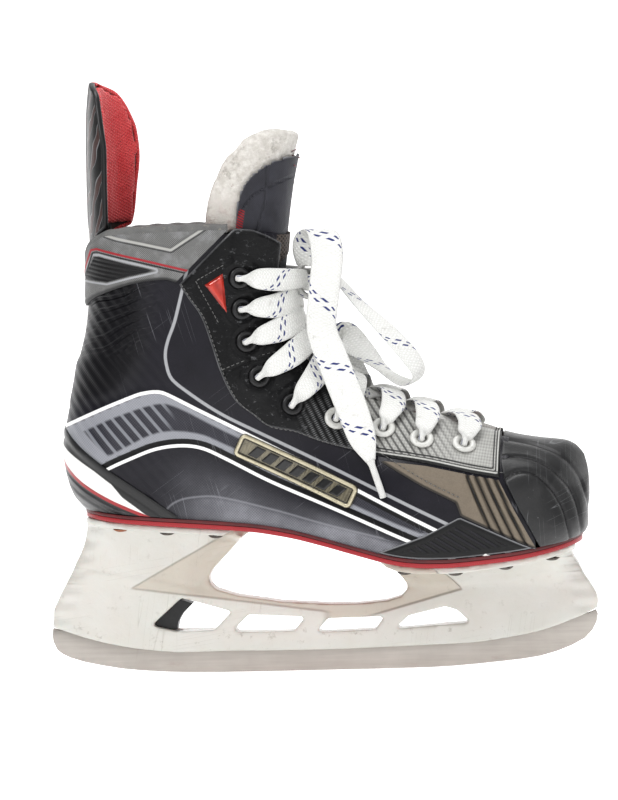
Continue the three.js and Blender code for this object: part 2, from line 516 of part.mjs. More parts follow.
// holder: a rail that widens into two towers and their flanges
const REAR = [[10, -147], [27, -147], [30, -146.6], [35, -146.2], [44, -142.6], [57, -135.8], [65, -131.8], [74, -127.4],
  [82, -125.4], [95, -124.6]];
const FORE = [[10, 147.6], [27, 148.6], [31, 149.6], [35, 150], [38, 149.4], [45, 146.4], [52, 142.6], [59, 139.6], [64, 137], [80, 138]];
const LOW = [[-150, 27.8], [-147, 27], [-127.7, 21], [-112, 17], [-99, 14.6], [-86, 13], [-75, 12.2], [4, 11.5], [41, 12.2],
  [81, 13.5], [98, 15.5], [116, 18.6], [138, 25.6], [148.7, 30.2], [152, 32]];
const ridge = (x) => at([[-140, 34], [-100, 45], [-60, 42], [0, 37], [50, 40], [90, 44], [140, 40]], x);
function holderHalf(x, z) {
  const top = at(SOLE, x) + flangeTop;
  const rail = at([[-147, 5.4], [-130, 7.4], [-100, 9], [-74, 8.4], [-50, RAIL_HALF], [50, RAIL_HALF], [80, 7.4], [120, 7.6], [150, 5]], x);
  const t = clamp((z - ridge(x)) / (top - ridge(x)), 0, 1);
  const flange = at([[-124, 18], [-116, 26], [-104, 30.5], [-80, 32], [-50, 32], [0, 34], [45, 43], [75, 45], [100, 42], [115, 36], [126, 30], [134, 21], [139, 12]], x);
  const low = at([[10, -1.4], [20, -0.6], [30, 0]], z);
  return rail + low + (flange - rail) * Math.pow(t, 1.9) * 0.86;
}
function holderBody() {
  const cols = 23;
  const levels = [0, 0.1, 0.24, 0.4, 0.56, 0.72, 0.87, 1];
  const make = (s) => levels.map((v) => {
    const row = [];
    for (let i = 0; i <= cols; i++) {
      const u = (1 - Math.cos((Math.PI * i) / cols)) / 2 * 0.5 + (i / cols) * 0.5;
      const x0 = lerp(-147, 150, u);
      const topZ = at(SOLE, x0) + flangeTop - FLANGE_T;
      const z = lerp(at(LOW, x0), topZ, v);
      const x = lerp(at(REAR, z), at(FORE, z), u);
      const z2 = lerp(at(LOW, x), at(SOLE, x) + flangeTop - FLANGE_T + 0.02, v);
      const end = 0.34 + 0.66 * Math.min(round(x - at(REAR, z2), 15), round(at(FORE, z2) - x, 15));
      row.push(new THREE.Vector3(x, s * Math.max(1.6, holderHalf(x, z2) * end), z2));
    }
    return row;
  });
  return between(make(-1), make(1));
}
function flangePlate(x0, x1, ends) {
  const points = [];
  const n = 16;
  for (let i = 0; i <= n; i++) {
    const x = lerp(x0, x1, (1 - Math.cos((Math.PI * i) / n)) / 2);
    const z = at(SOLE, x);
    const w = at(ends, x);
    points.push([x, -w, z + flangeTop - FLANGE_T], [x, w, z + flangeTop - FLANGE_T], [x, w, z + flangeTop], [x, -w, z + flangeTop]);
  }
  const faces = [[0, 2, 1], [0, 3, 2]];
  for (let k = 0; k < n; k++)
    for (let j = 0; j < 4; j++) {
      const a = 4 * k + j;
      const b = 4 * k + (j + 1) % 4;
      faces.push([a, b, b + 4], [a, b + 4, a + 4]);
    }
  const e = 4 * n;
  faces.push([e, e + 1, e + 2], [e, e + 2, e + 3]);
  return fixed(points, faces);
}
const REAR_FLANGE = [[-125, 8], [-124, 15], [-120, 22], [-112, 27.5], [-104, 30.5], [-85, 32], [-60, 32], [-48, 30], [-40, 22], [-33, 14]];
const FRONT_FLANGE = [[31, 22], [38, 34], [46, 43], [60, 45], [78, 45], [95, 43], [110, 38], [122, 31], [131, 23.5], [136, 16], [138.5, 8]];
const mainOpening = [[-33, 92], [-33, 79.5], [-40, 75], [-51, 63.6], [-57.4, 57.2], [-59.8, 53], [-59.4, 49.4], [-56.3, 46],
  [-45, 42.3], [-21, 38.3], [5, 36.4], [20.7, 36.2], [36, 37.4], [44, 39.6], [47.4, 43], [47.6, 46.4], [42.7, 54.4], [37, 59.4], [31, 63], [31, 92]];
const windows = [
  [[-92, 27], [-75, 41.9], [-67, 39.6], [-48.2, 33.6], [-57.8, 23.8], [-77.9, 23.6]],
  [[-46.8, 24.4], [-38.8, 31.8], [-8.2, 29.8], [-14.6, 22], [-45.6, 22.2]],
  [[-2, 22], [4, 28.6], [34.6, 28.9], [29.4, 21.8], [0, 21.2]],
  [[41, 23], [47.6, 29], [67.6, 33.6], [74, 31.6], [80, 25.9], [78.6, 24.3], [63, 23.4], [43, 22]]];
const pocket = [[-101, 23.4], [-76, 23.4], [-72, 38.6], [-76, 44.4], [-92, 45.6], [-101, 38]];
const grooveTop = LOW.map(([x, z]) => [x, z + 4.4]);
const groove = [[-142.6, 0], [-142.6, 30], ...grooveTop.slice(2, -2), [144.6, 33.2], [144.6, 0]];
const HALF_SLOT = BLADE_T / 2 + SLOT_GAP;
const tabs = (g) => [[[-99 - g, 12], [-99 - g, 24.2 + g], [-90 + g, 24.2 + g], [-90 + g, 12]],
  [[104 - g, 14], [104 - g, 28 + g], [113 + g, 28 + g], [113 + g, 14]]];
let holder = holderBody().add(flangePlate(-124.8, -30, REAR_FLANGE)).add(flangePlate(29, 138.6, FRONT_FLANGE))
  .subtract(cutBoth(mainOpening));
for (const w of windows) holder = holder.subtract(prism(w, -FAR, FAR));
holder = holder.subtract(prism(groove, -HALF_SLOT, HALF_SLOT));
for (const t of tabs(0.5)) holder = holder.subtract(prism(t, -HALF_SLOT, HALF_SLOT));
holder = holder.subtract(prism(pocket, -TRIGGER_T / 2 - TRIGGER_GAP, TRIGGER_T / 2 + TRIGGER_GAP));
const PIN = new THREE.Vector3(-84, 0, 39);
const ACROSS = new THREE.Vector3(0, 1, 0);
holder = holder.subtract(rod(PIN_D / 2 + PIN_GAP, -20, 20, PIN, ACROSS, 12));
for (const [x, y] of RIVETS)
  for (const s of [-1, 1]) {
    holder = holder.subtract(rod(RIVET_D / 2 + GAP, seat - 9, flangeTop + 1, rivetAt(x, s * y), UP, 8));
    holder = holder.subtract(rod(RIVET_HEAD_D / 2 + 0.7, seat - 9, seat, rivetAt(x, s * y), UP, 10));
  }
add("holder", holder, 0xe6e4de);

// rivets, heads under the flange
RIVETS.forEach(([x, y], i) => {
  for (const s of [-1, 1]) {
    const low = seat - GAP;
    const body = turned([[0, low - RIVET_HEAD_T], [RIVET_HEAD_D / 2 - 1, low - RIVET_HEAD_T],
      [RIVET_HEAD_D / 2, low], [RIVET_D / 2, low], [RIVET_D / 2, outTop - 1], [0, outTop - 1]], rivetAt(x, s * y), UP, 8);
    add("rivet_" + (s < 0 ? "lateral_" : "medial_") + (i + 1), body, 0xa86a42, 0.9, 0.4);
  }
});

// runner
const EDGE = [[-142, 29.3], [-142, 24.8], [-146.9, 26.2], [-147.3, 22], [-147, 19], [-145, 14.4], [-142, 12], [-138, 10], [-130, 7.4], [-120, 5.2], [-110, 3.4],
  [-100, 2.2], [-88, 1.2], [-74, 0.5], [-58, 0.15], [-30, 0], [30, 0], [58, 0.15], [72, 0.7], [84, 1.5], [96, 2.5], [108, 3.6], [118, 5],
  [127, 7.4], [135, 10.4], [142, 14], [146.4, 18.4], [148.8, 23], [149.6, 27], [148.6, 29.3], [144, 27.4], [144, 32.4]];
const bladeTop = LOW.slice(2, -2).map(([x, z]) => [x, z + 3.9]).reverse();
let runner = prism([...EDGE, ...bladeTop], -BLADE_T / 2, BLADE_T / 2);
for (const t of tabs(0)) runner = runner.add(prism(t, -BLADE_T / 2, BLADE_T / 2));
add("runner", runner, 0xb0aca8, 0.9, 0.35);

// release trigger and its pin
const triggerOut = [[-96.4, 25.4], [-78.4, 24.4], [-77.5, 28.8], [-75, 33], [-69.4, 38.4], [-75.4, 40.4], [-79, 43.4], [-88, 43.8], [-92.4, 36]];
const trigger = prism(triggerOut, -TRIGGER_T / 2, TRIGGER_T / 2).subtract(rod(PIN_D / 2 + PIN_GAP, -20, 20, PIN, ACROSS, 12));
add("trigger", trigger, 0x1a1a1c);
add("trigger_pin", rod(PIN_D / 2, -8.2, 8.2, PIN, ACROSS, 12), 0x9a9a9a, 0.9, 0.4);

// ---------- laces ----------
const FRONT_AT = (t) => {
  let left = t;
  for (let i = 0; i + 1 < FRONT.length; i++) {
    const [ax, az] = FRONT[i];
    const [bx, bz] = FRONT[i + 1];
    const len = Math.hypot(bx - ax, bz - az);
    if (left <= len) {
      return {x: lerp(ax, bx, left / len), z: lerp(az, bz, left / len), nx: -(bz - az) / len, nz: (bx - ax) / len};
    }
    left -= len;
  }
  return null;
};
function frontNear(x, z) {
  let best = null;
  let gap = 1e9;
  for (let t = 0; t < 300; t += 1) {
    const q = FRONT_AT(t);
    if (!q) break;
    const d = Math.hypot(q.x - x, q.z - z);
    if (d < gap) {
      gap = d;
      best = q;
    }
  }
  return best;
}
const EYES = [...DARK_EYES, ...WHITE_EYES];
// from an eyelet over the edge of its facing, across the throat and under the other facing to the next eyelet
function crossing(i, side) {
  const [x0, z0] = EYES[i];
  const [x1, z1] = EYES[i - 1];
  const a = onBoot(x0, z0, side);
  const b = onBoot(x1, z1, -side);
  const f0 = frontNear(x0, z0);
  const f1 = frontNear(x1, z1);
  const mid = (t) => ({x: lerp(f0.x, f1.x, t), z: lerp(f0.z, f1.z, t), nx: lerp(f0.nx, f1.nx, t), nz: lerp(f0.nz, f1.nz, t)});
  const over = (t, y, lift) => {
    const q = mid(t);
    const n = new THREE.Vector3(q.nx, y / FRONT_R, q.nz).normalize();
    return {p: new THREE.Vector3(q.x + q.nx * lift, y, q.z + q.nz * lift), n};
  };
  const lay = (e, o, t, lift, sd) => onBoot(lerp(e[0], o.x, t), lerp(e[1], o.z, t), sd, lift);
  const across = new THREE.Vector3(f0.nz, 0, -f0.nx);
  const out = (lift) => a.p.clone().addScaledVector(a.n, lift);
  const l1 = lay([x0, z0], f0, 0.34, 5.4, side);
  const l2 = lay([x0, z0], f0, 0.62, 5.2, side);
  const c0 = over(0.2, side * 14, 2.6);
  const c1 = over(0.5, 0, -1.4);
  const c2 = over(0.72, -side * 13, -5.7);
  const under = lay([x1, z1], f1, 0.42, -SHELL_T - 2.1, -side);
  const last = lay([x1, z1], f1, 0, -SHELL_T - 1.9, -side);
  const list = [
    {p: out(-SHELL_T - 2.4), n: across, w: 3.2, a: a.n},
    {p: out(5), n: across, w: 3.4, a: a.n},
    {p: l1.p, n: l1.n, w: LACE_W * 0.85},
    {p: l2.p, n: l2.n, w: LACE_W * 0.9},
    {p: c0.p, n: c0.n, w: LACE_W},
    {p: c1.p, n: c1.n, w: LACE_W},
    {p: c2.p, n: c2.n, w: LACE_W * 0.5},
    {p: under.p, n: under.n, w: 5},
    {p: last.p, n: last.n, w: 3.4},
  ];
  return band(list, LACE_T);
}
const rowsOfLace = [];
for (let i = 8; i >= 1; i--) rowsOfLace.push(crossing(i, -1), crossing(i, 1));
add("lace_row", all(rowsOfLace), 0xf0f0f0);

// knot over the top pair of eyelets, with the two laces that reach it
const V = (x, y, z) => new THREE.Vector3(x, y, z);
const KNOT = V(-0.5, -1, 212);
const knot = from(new THREE.SphereGeometry(1, 12, 8), new THREE.Matrix4().compose(KNOT,
  new THREE.Quaternion(), V(6.5, 9, 9)));
function knotArm(side) {
  const [x, z] = EYES[0];
  const a = onBoot(x, z, side);
  const q = frontNear(x, z);
  const l1 = onBoot(lerp(x, q.x, 0.36), z - 0.6, side, 6.2);
  const l2 = onBoot(lerp(x, q.x, 0.66), z - 1.4, side, 6.6);
  return band([
    {p: a.p.clone().addScaledVector(a.n, -1.5), n: V(q.nz, 0, -q.nx), w: 3.2, a: a.n},
    {p: a.p.clone().addScaledVector(a.n, 5), n: V(q.nz, 0, -q.nx), w: 3.4, a: a.n},
    {p: l1.p, n: l1.n, w: 9.5}, {p: l2.p, n: l2.n, w: 10},
    {p: V(-2.8, side * 13, 213), n: V(1, side * 0.7, 0).normalize(), w: 8.6},
    {p: V(-0.5, side * 3, 212.4), n: V(1, 0, 0), w: 8}], LACE_T);
}
add("lace_knot", knot.add(knotArm(-1)).add(knotArm(1)), 0xf0f0f0);
// the bow: each end of the lace makes one loop out of the knot, then hangs down one side
const TAIL = [[13, 34, 172], [19, 39.5, 157], [24.6, 43.6, 142], [29.2, 45.6, 128], [33, 46, 116.4]];
const tail = (side) => TAIL.map(([x, y, z]) => ({p: V(x, side * y, z), n: V(0.1, side, 0.12).normalize(), w: LACE_W}));
function aglet(side) {
  const a = V(33.3, side * 46.1, 115.1);
  const b = V(39.3, side * 49.6, 96.9);
  const dir = new THREE.Vector3().subVectors(b, a);
  const len = dir.length();
  return turned([[0, 0], [1.7, 0], [1.7, len - 1], [1, len], [0, len]], a, dir.normalize(), 8);
}
const loopNear = [
  {p: V(-1, -9, 219.5), n: V(0.5, -0.8, 0).normalize(), w: 9}, {p: V(-1, -12, 228), n: V(0.2, -1, 0).normalize(), w: LACE_W},
  {p: V(5, -13, 235), n: V(0, -0.8, 0.5).normalize(), w: LACE_W}, {p: V(14, -14, 233), n: V(0.6, -0.7, 0.4).normalize(), w: LACE_W},
  {p: V(17, -17, 224), n: V(0.8, -0.6, 0).normalize(), w: LACE_W}, {p: V(14, -20, 212), n: V(0.6, -0.8, 0).normalize(), w: LACE_W},
  {p: V(9, -24, 198), n: V(0.5, -0.85, 0).normalize(), w: LACE_W}, {p: V(8, -29, 187), n: V(0.4, -0.9, 0.1).normalize(), w: LACE_W}];
const loopFar = [
  {p: V(4.5, 4, 222), n: V(1, 0.2, 0.2).normalize(), w: 9}, {p: V(14, 2, 213), n: V(0.8, -0.2, 0.6).normalize(), w: LACE_W},
  {p: V(27, -4, 198), n: V(0.7, -0.3, 0.6).normalize(), w: LACE_W}, {p: V(42, -10, 183), n: V(0.6, -0.5, 0.6).normalize(), w: LACE_W},
  {p: V(54, -14, 169), n: V(0.7, -0.6, 0.5).normalize(), w: LACE_W}, {p: V(58, -14, 160), n: V(1, -0.4, -0.2).normalize(), w: LACE_W},
  {p: V(52, -10, 155), n: V(0.1, 0.1, -1).normalize(), w: LACE_W}, {p: V(38, 2, 162), n: V(-0.6, 0.3, -0.8).normalize(), w: LACE_W},
  {p: V(26, 13, 172), n: V(-0.4, 0.8, -0.5).normalize(), w: LACE_W}, {p: V(16, 24, 180), n: V(0, 1, -0.2).normalize(), w: LACE_W}];
add("lace_bow_near", band([...loopNear, ...tail(-1)], LACE_T), 0xf0f0f0);
add("lace_bow_far", band([...loopFar, ...tail(1)], LACE_T), 0xf0f0f0);
add("aglet_near", aglet(-1), 0xf4f4f4);
add("aglet_far", aglet(1), 0xf4f4f4);

const root = new THREE.Group();
for (const m of parts) root.add(m);
export default root;
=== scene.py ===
"""Ice hockey skate: the finished boot, blade holder, runner and laces, built around its frame."""

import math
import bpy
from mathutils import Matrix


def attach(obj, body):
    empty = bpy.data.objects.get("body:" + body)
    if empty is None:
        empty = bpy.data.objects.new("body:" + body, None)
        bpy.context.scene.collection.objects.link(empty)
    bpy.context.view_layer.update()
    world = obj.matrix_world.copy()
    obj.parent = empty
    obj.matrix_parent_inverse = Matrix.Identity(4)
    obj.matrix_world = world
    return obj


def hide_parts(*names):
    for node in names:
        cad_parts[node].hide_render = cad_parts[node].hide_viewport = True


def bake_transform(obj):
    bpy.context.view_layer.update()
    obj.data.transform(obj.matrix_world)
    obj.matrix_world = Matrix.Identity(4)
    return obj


bl_info = {
    "name": "Ice Hockey Skate",
    "version": (1, 0, 0),
    "blender": (4, 5, 0),
    "location": "View3D > Sidebar > Skate",
    "description": "Builds the boot, blade holder, runner and laces of an ice hockey skate",
    "category": "Object",
}

import bmesh
import bpy
import numpy as np
from bpy.props import FloatProperty, FloatVectorProperty, PointerProperty
from mathutils import Quaternion, Vector

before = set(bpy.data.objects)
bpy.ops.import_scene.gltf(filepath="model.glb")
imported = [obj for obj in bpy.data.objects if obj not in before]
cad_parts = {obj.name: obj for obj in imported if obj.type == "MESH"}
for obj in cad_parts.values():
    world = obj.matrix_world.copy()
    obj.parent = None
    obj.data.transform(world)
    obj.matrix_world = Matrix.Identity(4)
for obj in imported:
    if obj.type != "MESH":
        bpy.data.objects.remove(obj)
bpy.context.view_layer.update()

# ---------- the boot's own lines, in millimetres: toe towards +X, outer side towards -Y ----------
MM = 0.001
SIDES = {"lateral": -1, "medial": 1}
BACK = [(60, -124), (91, -124.5), (95, -127.5), (100, -131.3), (107, -133.8), (115, -135.4),
        (124, -136.3), (131, -135.4), (139, -134.2), (149, -132), (159, -129.6), (169, -127.6),
        (179, -124.8), (187, -122.6), (197, -120.9), (209, -119.6), (224, -118.8), (300, -118.5)]
FRONT = [(6, 296), (4, 288), (1, 278), (-2.6, 262), (-5.5, 244), (-7.5, 228), (-9, 212),
         (-8.8, 200), (-7, 189), (-1, 177.5), (9, 168), (20, 160), (32, 153.2), (46, 147),
         (60, 141.7), (72, 138), (80, 135.4), (90, 132), (100, 128), (110, 125.2), (120, 123.4),
         (130, 122), (136, 120.6), (140, 118.2), (143, 114.8), (145, 111), (147, 103)]
TOE = [(55, 138.5), (68, 140), (72, 143), (76, 145.4), (83, 146.7), (95, 147), (101, 146.6),
       (107, 145.7), (113, 144.2), (120, 143)]
SOLE = [(-140, 93.6), (-126, 92.4), (-100, 89.9), (-80, 88), (-60, 86.3), (-40, 84.5),
        (-30, 83.4), (-20, 81.7), (-10, 79.7), (0, 77.2), (10, 74.5), (20, 71.6), (30, 68.8),
        (40, 66.2), (50, 64.4), (60, 63.6), (70, 63.4), (80, 63.8), (90, 64.6), (100, 65.5),
        (110, 66.5), (120, 67.8), (130, 69.4), (141, 71.8), (150, 74)]
WIDE_X = [-135, -100, -60, -20, 20, 60, 100, 145]
WIDE_Z = [60, 80, 105, 130, 160, 200, 244, 300]
WIDE = [[30, 33, 33, 35, 42, 49, 47, 40], [31, 34.5, 34, 36, 43.5, 51, 49, 42],
        [33, 36.5, 36, 36.5, 42, 48, 47, 42], [34, 38.5, 38.5, 37.5, 38, 42, 43, 40],
        [34, 39.5, 40.5, 38, 34, 36, 36, 36], [34, 38.5, 39.5, 36, 34, 34, 34, 34],
        [34, 38.5, 40, 37, 36, 36, 36, 36], [34, 38, 38, 35, 34, 34, 34, 34]]
BACK_R, FRONT_R, TOE_R, TOE_P = 33, 36, 44, 2.4
GAP = 0.3
SHELL_T, CAP_T, CAP_PROUD = 3.3, 4.2, 0.8
OVERLAY_T, LINING_T, THROAT = 1.3, 4.0, 21
RIM_T, SOLE_T, FLANGE_T = 1.7, 2.3, 3.6
DARK_EYES = [(-34.7, 214.9), (-34, 198.2), (-32, 180.8), (-25.6, 162.2), (-8.5, 146.6)]
WHITE_EYES = [(14.4, 138), (39.2, 132), (59.5, 125.6), (81.6, 122)]
RIVETS = [(-104.3, 24), (-79, 25.5), (-52.8, 25.5), (48.6, 36.5), (75.4, 38), (101.8, 34), (126.3, 22.5)]


# ---------- small maths ----------
def cubic(knots, values, p):
    """Cubic through values at the knots, with no overshoot. values may hold one column for each p."""
    x = np.asarray(knots, float)
    y = np.asarray(values, float)
    p = np.clip(np.asarray(p, float), x[0], x[-1])
    h = np.diff(x)
    step = h if y.ndim == 1 else h[:, None]
    slope = np.diff(y, axis=0) / step
    product = slope[:-1] * slope[1:]
    total = slope[:-1] + slope[1:]
    bend = np.where(product > 0, 2 * product / np.where(product > 0, total, 1), 0)
    tangent = np.concatenate([slope[:1], bend, slope[-1:]])
    i = np.clip(np.searchsorted(x, p, side="right") - 1, 0, len(x) - 2)
    pick = (lambda a, k: a[k]) if y.ndim == 1 else (lambda a, k: a[k, np.arange(len(p))])
    t = (p - x[i]) / h[i]
    t2, t3 = t * t, t * t * t
    return ((2 * t3 - 3 * t2 + 1) * pick(y, i) + (t3 - 2 * t2 + t) * h[i] * pick(tangent, i)
            + (3 * t2 - 2 * t3) * pick(y, i + 1) + (t3 - t2) * h[i] * pick(tangent, i + 1))


def at(table, p):
    """Value of a two-column table at p."""
    x, y = zip(*table)
    return cubic(x, y, p)


def rounding(depth, radius):
    q = 1 - np.clip(depth / radius, 0, 1)
    return np.sqrt(np.maximum(0, 1 - q * q))


def curve(points, steps=6):
    """Smooth line through points, as a denser list of points."""
    p = np.asarray(points, float)
    p = np.vstack([2 * p[0] - p[1], p, 2 * p[-1] - p[-2]])
    t = np.linspace(0, 1, steps, endpoint=False)[:, None]
    parts = []
    for a, b, c, d in zip(p, p[1:], p[2:], p[3:]):
        parts.append(0.5 * (2 * b + (c - a) * t + (2 * a - 5 * b + 4 * c - d) * t**2
                            + (3 * b - a - 3 * c + d) * t**3))
    return np.vstack([*parts, p[-2:-1]])


def along(points, t):
    """Points at shares t of a line's length."""
    p = np.asarray(points, float)
    run = np.concatenate([[0], np.cumsum(np.linalg.norm(np.diff(p, axis=0), axis=1))])
    return np.stack([np.interp(t, run / max(run[-1], 1e-9), p[:, k]) for k in range(p.shape[1])], -1)


def run_length(points):
    return float(np.linalg.norm(np.diff(np.asarray(points, float), axis=0), axis=1).sum())


def even(points, spacing):
    """A line's points at an even spacing."""
    return along(points, np.linspace(0, 1, max(2, round(run_length(points) / spacing) + 1)))


def nearest(line, x, z):
    """Distance of side-view positions from a line, and the side they lie on: +1 on its left."""
    p = np.asarray(line, float)
    shape = np.shape(x)
    q = np.stack([np.ravel(x), np.ravel(z)], -1)
    best = np.full(len(q), 1e9)
    hand = np.ones(len(q))
    for a, b in zip(p, p[1:]):
        d = b - a
        w = q - a
        t = np.clip((w @ d) / max(d @ d, 1e-12), 0, 1)
        far = np.linalg.norm(w - t[:, None] * d, axis=1)
        nearer = far < best - 1e-9
        best = np.where(nearer, far, best)
        hand = np.where(nearer, np.sign(d[0] * w[:, 1] - d[1] * w[:, 0]), hand)
    return best.reshape(shape), hand.reshape(shape)


def offset(line, x, z):
    """Signed distance from a line in side view, positive on its left."""
    far, hand = nearest(line, x, z)
    return far * hand


def depth_in(outline, x, z):
    """Signed distance inside a closed outline."""
    p = np.asarray(outline, float)
    far, _ = nearest(np.vstack([p, p[:1]]), x, z)
    inside = np.zeros(np.shape(x), bool)
    for (ax, az), (bx, bz) in zip(p, np.roll(p, -1, axis=0)):
        crosses = (az > z) != (bz > z)
        slant = ax + (z - az) * (bx - ax) / (bz - az if bz != az else 1e-9)
        inside ^= crosses & (x < slant)
    return np.where(inside, far, -far)


def ramp(value, low, high):
    """0 below low, 1 above high, smooth between."""
    t = np.clip((value - low) / (high - low), 0, 1)
    return t * t * (3 - 2 * t)


def unit(v):
    return v / np.maximum(np.linalg.norm(v, axis=-1, keepdims=True), 1e-12)


# ---------- the boot's surface ----------
FRONT_LINE = curve(FRONT, 4)


def front_depth(x, z):
    return -offset(FRONT_LINE, x, z)


def wide(x, z):
    rows = np.array([cubic(WIDE_X, row, np.ravel(x)) for row in WIDE])
    return cubic(WIDE_Z, rows, np.ravel(z)).reshape(np.shape(x))


def half(x, z):
    """Half width of the boot at side-view positions."""
    back = rounding(x - at(BACK, z), BACK_R)
    share = 1 - np.clip((at(TOE, z) - x) / TOE_R, 0, 1)
    toe = (1 - share**TOE_P) ** (1 / TOE_P)
    return wide(x, z) * back * toe * rounding(front_depth(x, z), FRONT_R)


def skin(x, z, side, lift=0.0):
    """Points above side-view positions, raised off the boot's surface, and its outward directions."""
    x, z, side, lift = np.broadcast_arrays(*(np.asarray(v, float) for v in (x, z, side, lift)))
    e = 0.25
    y = half(x, z)
    nx = (half(x - e, z) - half(x + e, z)) / (2 * e)
    nz = (half(x, z - e) - half(x, z + e)) / (2 * e)
    n = unit(np.stack([nx, np.where(y < 1e-4, 0, 1.0), nz], -1))
    p = np.stack([x, y, z], -1) + n * lift[..., None]
    flip = np.stack([np.ones_like(side), side, np.ones_like(side)], -1)
    return p * flip, n * flip


def spread(n, dense=""):
    """n + 1 shares from 0 to 1, closer together at the start or the end."""
    t = np.linspace(0, 1, n + 1)
    if dense == "start":
        return 1 - np.cos(t * math.pi / 2)
    if dense == "end":
        return np.sin(t * math.pi / 2)
    if dense == "both":
        return (1 - np.cos(t * math.pi)) / 2
    return t


def patch(low, top, rear, fore, nu, nv, du="", dv=""):
    """Side-view grid of a four-sided piece. low and top run forwards, rear and fore run upwards."""
    u = spread(nu, du)
    v = spread(nv, dv)
    b, t = along(low, u)[:, None], along(top, u)[:, None]
    r, f = along(rear, v)[None], along(fore, v)[None]
    U, V = u[:, None, None], v[None, :, None]
    corners = ((1 - U) * (1 - V) * b[0, 0] + U * (1 - V) * b[-1, 0]
               + (1 - U) * V * t[0, 0] + U * V * t[-1, 0])
    g = (1 - V) * b + V * t + (1 - U) * r + U * f - corners
    return g[..., 0], g[..., 1]


def both(x, z):
    """A grid whose first row lies on the middle plane, carried on over it to the other side."""
    side = np.concatenate([-np.ones(len(x) - 1), np.ones(len(x))])[:, None]
    return np.concatenate([x[:0:-1], x]), np.concatenate([z[:0:-1], z]), side


def throat_line(x0, x1, n=60):
    """The facings' inner edge in side view, from the collar's height down towards the toe."""
    shares = [(-9, 1.02), (-3, 0.95), (20, 0.92), (46, 0.9), (72, 0.86), (84, 0.78), (94, 0.6), (101, 0.5)]
    line = FRONT_LINE[(FRONT_LINE[:, 1] <= 234)]
    start = int(np.argmax(line[:, 0] >= x0)) if x0 > -9 else 0
    q = even(line[start:], 1.0)
    q = q[: int(np.argmax(q[:, 0] >= x1)) + 1]
    d = unit(np.gradient(q, axis=0))
    inward = np.stack([d[:, 1], -d[:, 0]], -1)
    want = THROAT * at(shares, np.clip(q[:, 0], -9, 101))
    near, far = np.zeros(len(q)), np.full(len(q), 30.0)
    for _ in range(24):
        mid = (near + far) / 2
        p = q + inward * mid[:, None]
        narrow = half(p[:, 0], p[:, 1]) < want
        near, far = np.where(narrow, mid, near), np.where(narrow, far, mid)
    return along(q + inward * near[:, None], np.linspace(0, 1, n))


# ---------- meshes ----------
def make(name, points, faces, material, marks=None, weld=0.0, close=True):
    """A named object from points in millimetres. marks are numbers kept at its points."""
    mesh = bpy.data.meshes.new(name)
    mesh.from_pydata((np.asarray(points, float) * MM).tolist(), [], [tuple(map(int, f)) for f in faces])
    for key, values in (marks or {}).items():
        mesh.attributes.new(key, "FLOAT", "POINT").data.foreach_set("value",
                                                                    np.ravel(values).astype(np.float32))
    bm = bmesh.new()
    bm.from_mesh(mesh)
    if weld:
        bmesh.ops.remove_doubles(bm, verts=bm.verts, dist=weld * MM)
    bmesh.ops.delete(bm, geom=[v for v in bm.verts if not v.link_faces], context="VERTS")
    if close:
        bmesh.ops.recalc_face_normals(bm, faces=bm.faces)
    bm.to_mesh(mesh)
    bm.free()
    mesh.materials.append(material)
    mesh.shade_smooth()
    obj = bpy.data.objects.new(name, mesh)
    bpy.context.scene.collection.objects.link(obj)
    return obj


def slab(name, outer, inner, material, marks=None, keep=None, soften=0.35, weld=0.02):
    """Closed body between two grids of points, its rim eased. keep says which points stay."""
    rows, cols = outer.shape[:2]
    n = rows * cols
    number = np.arange(n).reshape(rows, cols)
    corners = [number[:-1, :-1], number[1:, :-1], number[1:, 1:], number[:-1, 1:]]
    quads = np.stack(corners, -1).reshape(-1, 4)
    if keep is not None:
        quads = quads[np.ravel(keep)[quads].all(axis=1)]
    quads = quads.tolist()
    edges = {(q[k], q[(k + 1) % 4]) for q in quads for k in range(4)}
    faces = [*quads, *([d + n, c + n, b + n, a + n] for a, b, c, d in quads)]
    faces += [(b, a, a + n, b + n) for a, b in sorted(edges) if (b, a) not in edges]
    points = np.concatenate([outer.reshape(-1, 3), inner.reshape(-1, 3)])
    twice = {key: np.tile(np.ravel(np.broadcast_to(v, (rows, cols))), 2) for key,
             v in (marks or {}).items()}
    obj = make(name, points, faces, material, twice, weld)
    if soften:
        ease_edges(obj, soften)
    return obj


def ease_edges(obj, width, angle=50, segments=2):
    bevel = obj.modifiers.new("Eased edges", "BEVEL")
    bevel.width = width * MM
    bevel.segments = segments
    bevel.limit_method = "ANGLE"
    bevel.angle_limit = math.radians(angle)


def settle(obj):
    """Turns an object's modifiers into plain mesh."""
    done = obj.evaluated_get(bpy.context.evaluated_depsgraph_get())
    mesh = bpy.data.meshes.new_from_object(done)
    obj.modifiers.clear()
    obj.data = mesh
    return obj


def sewn(name, x, z, side, low, high, material, marks=None, keep=None, soften=0.35):
    """Piece of the boot between two heights over its surface."""
    outer, _ = skin(x, z, side, high)
    inner, _ = skin(x, z, side, low)
    return slab(name, outer, inner, material, marks, keep, soften)


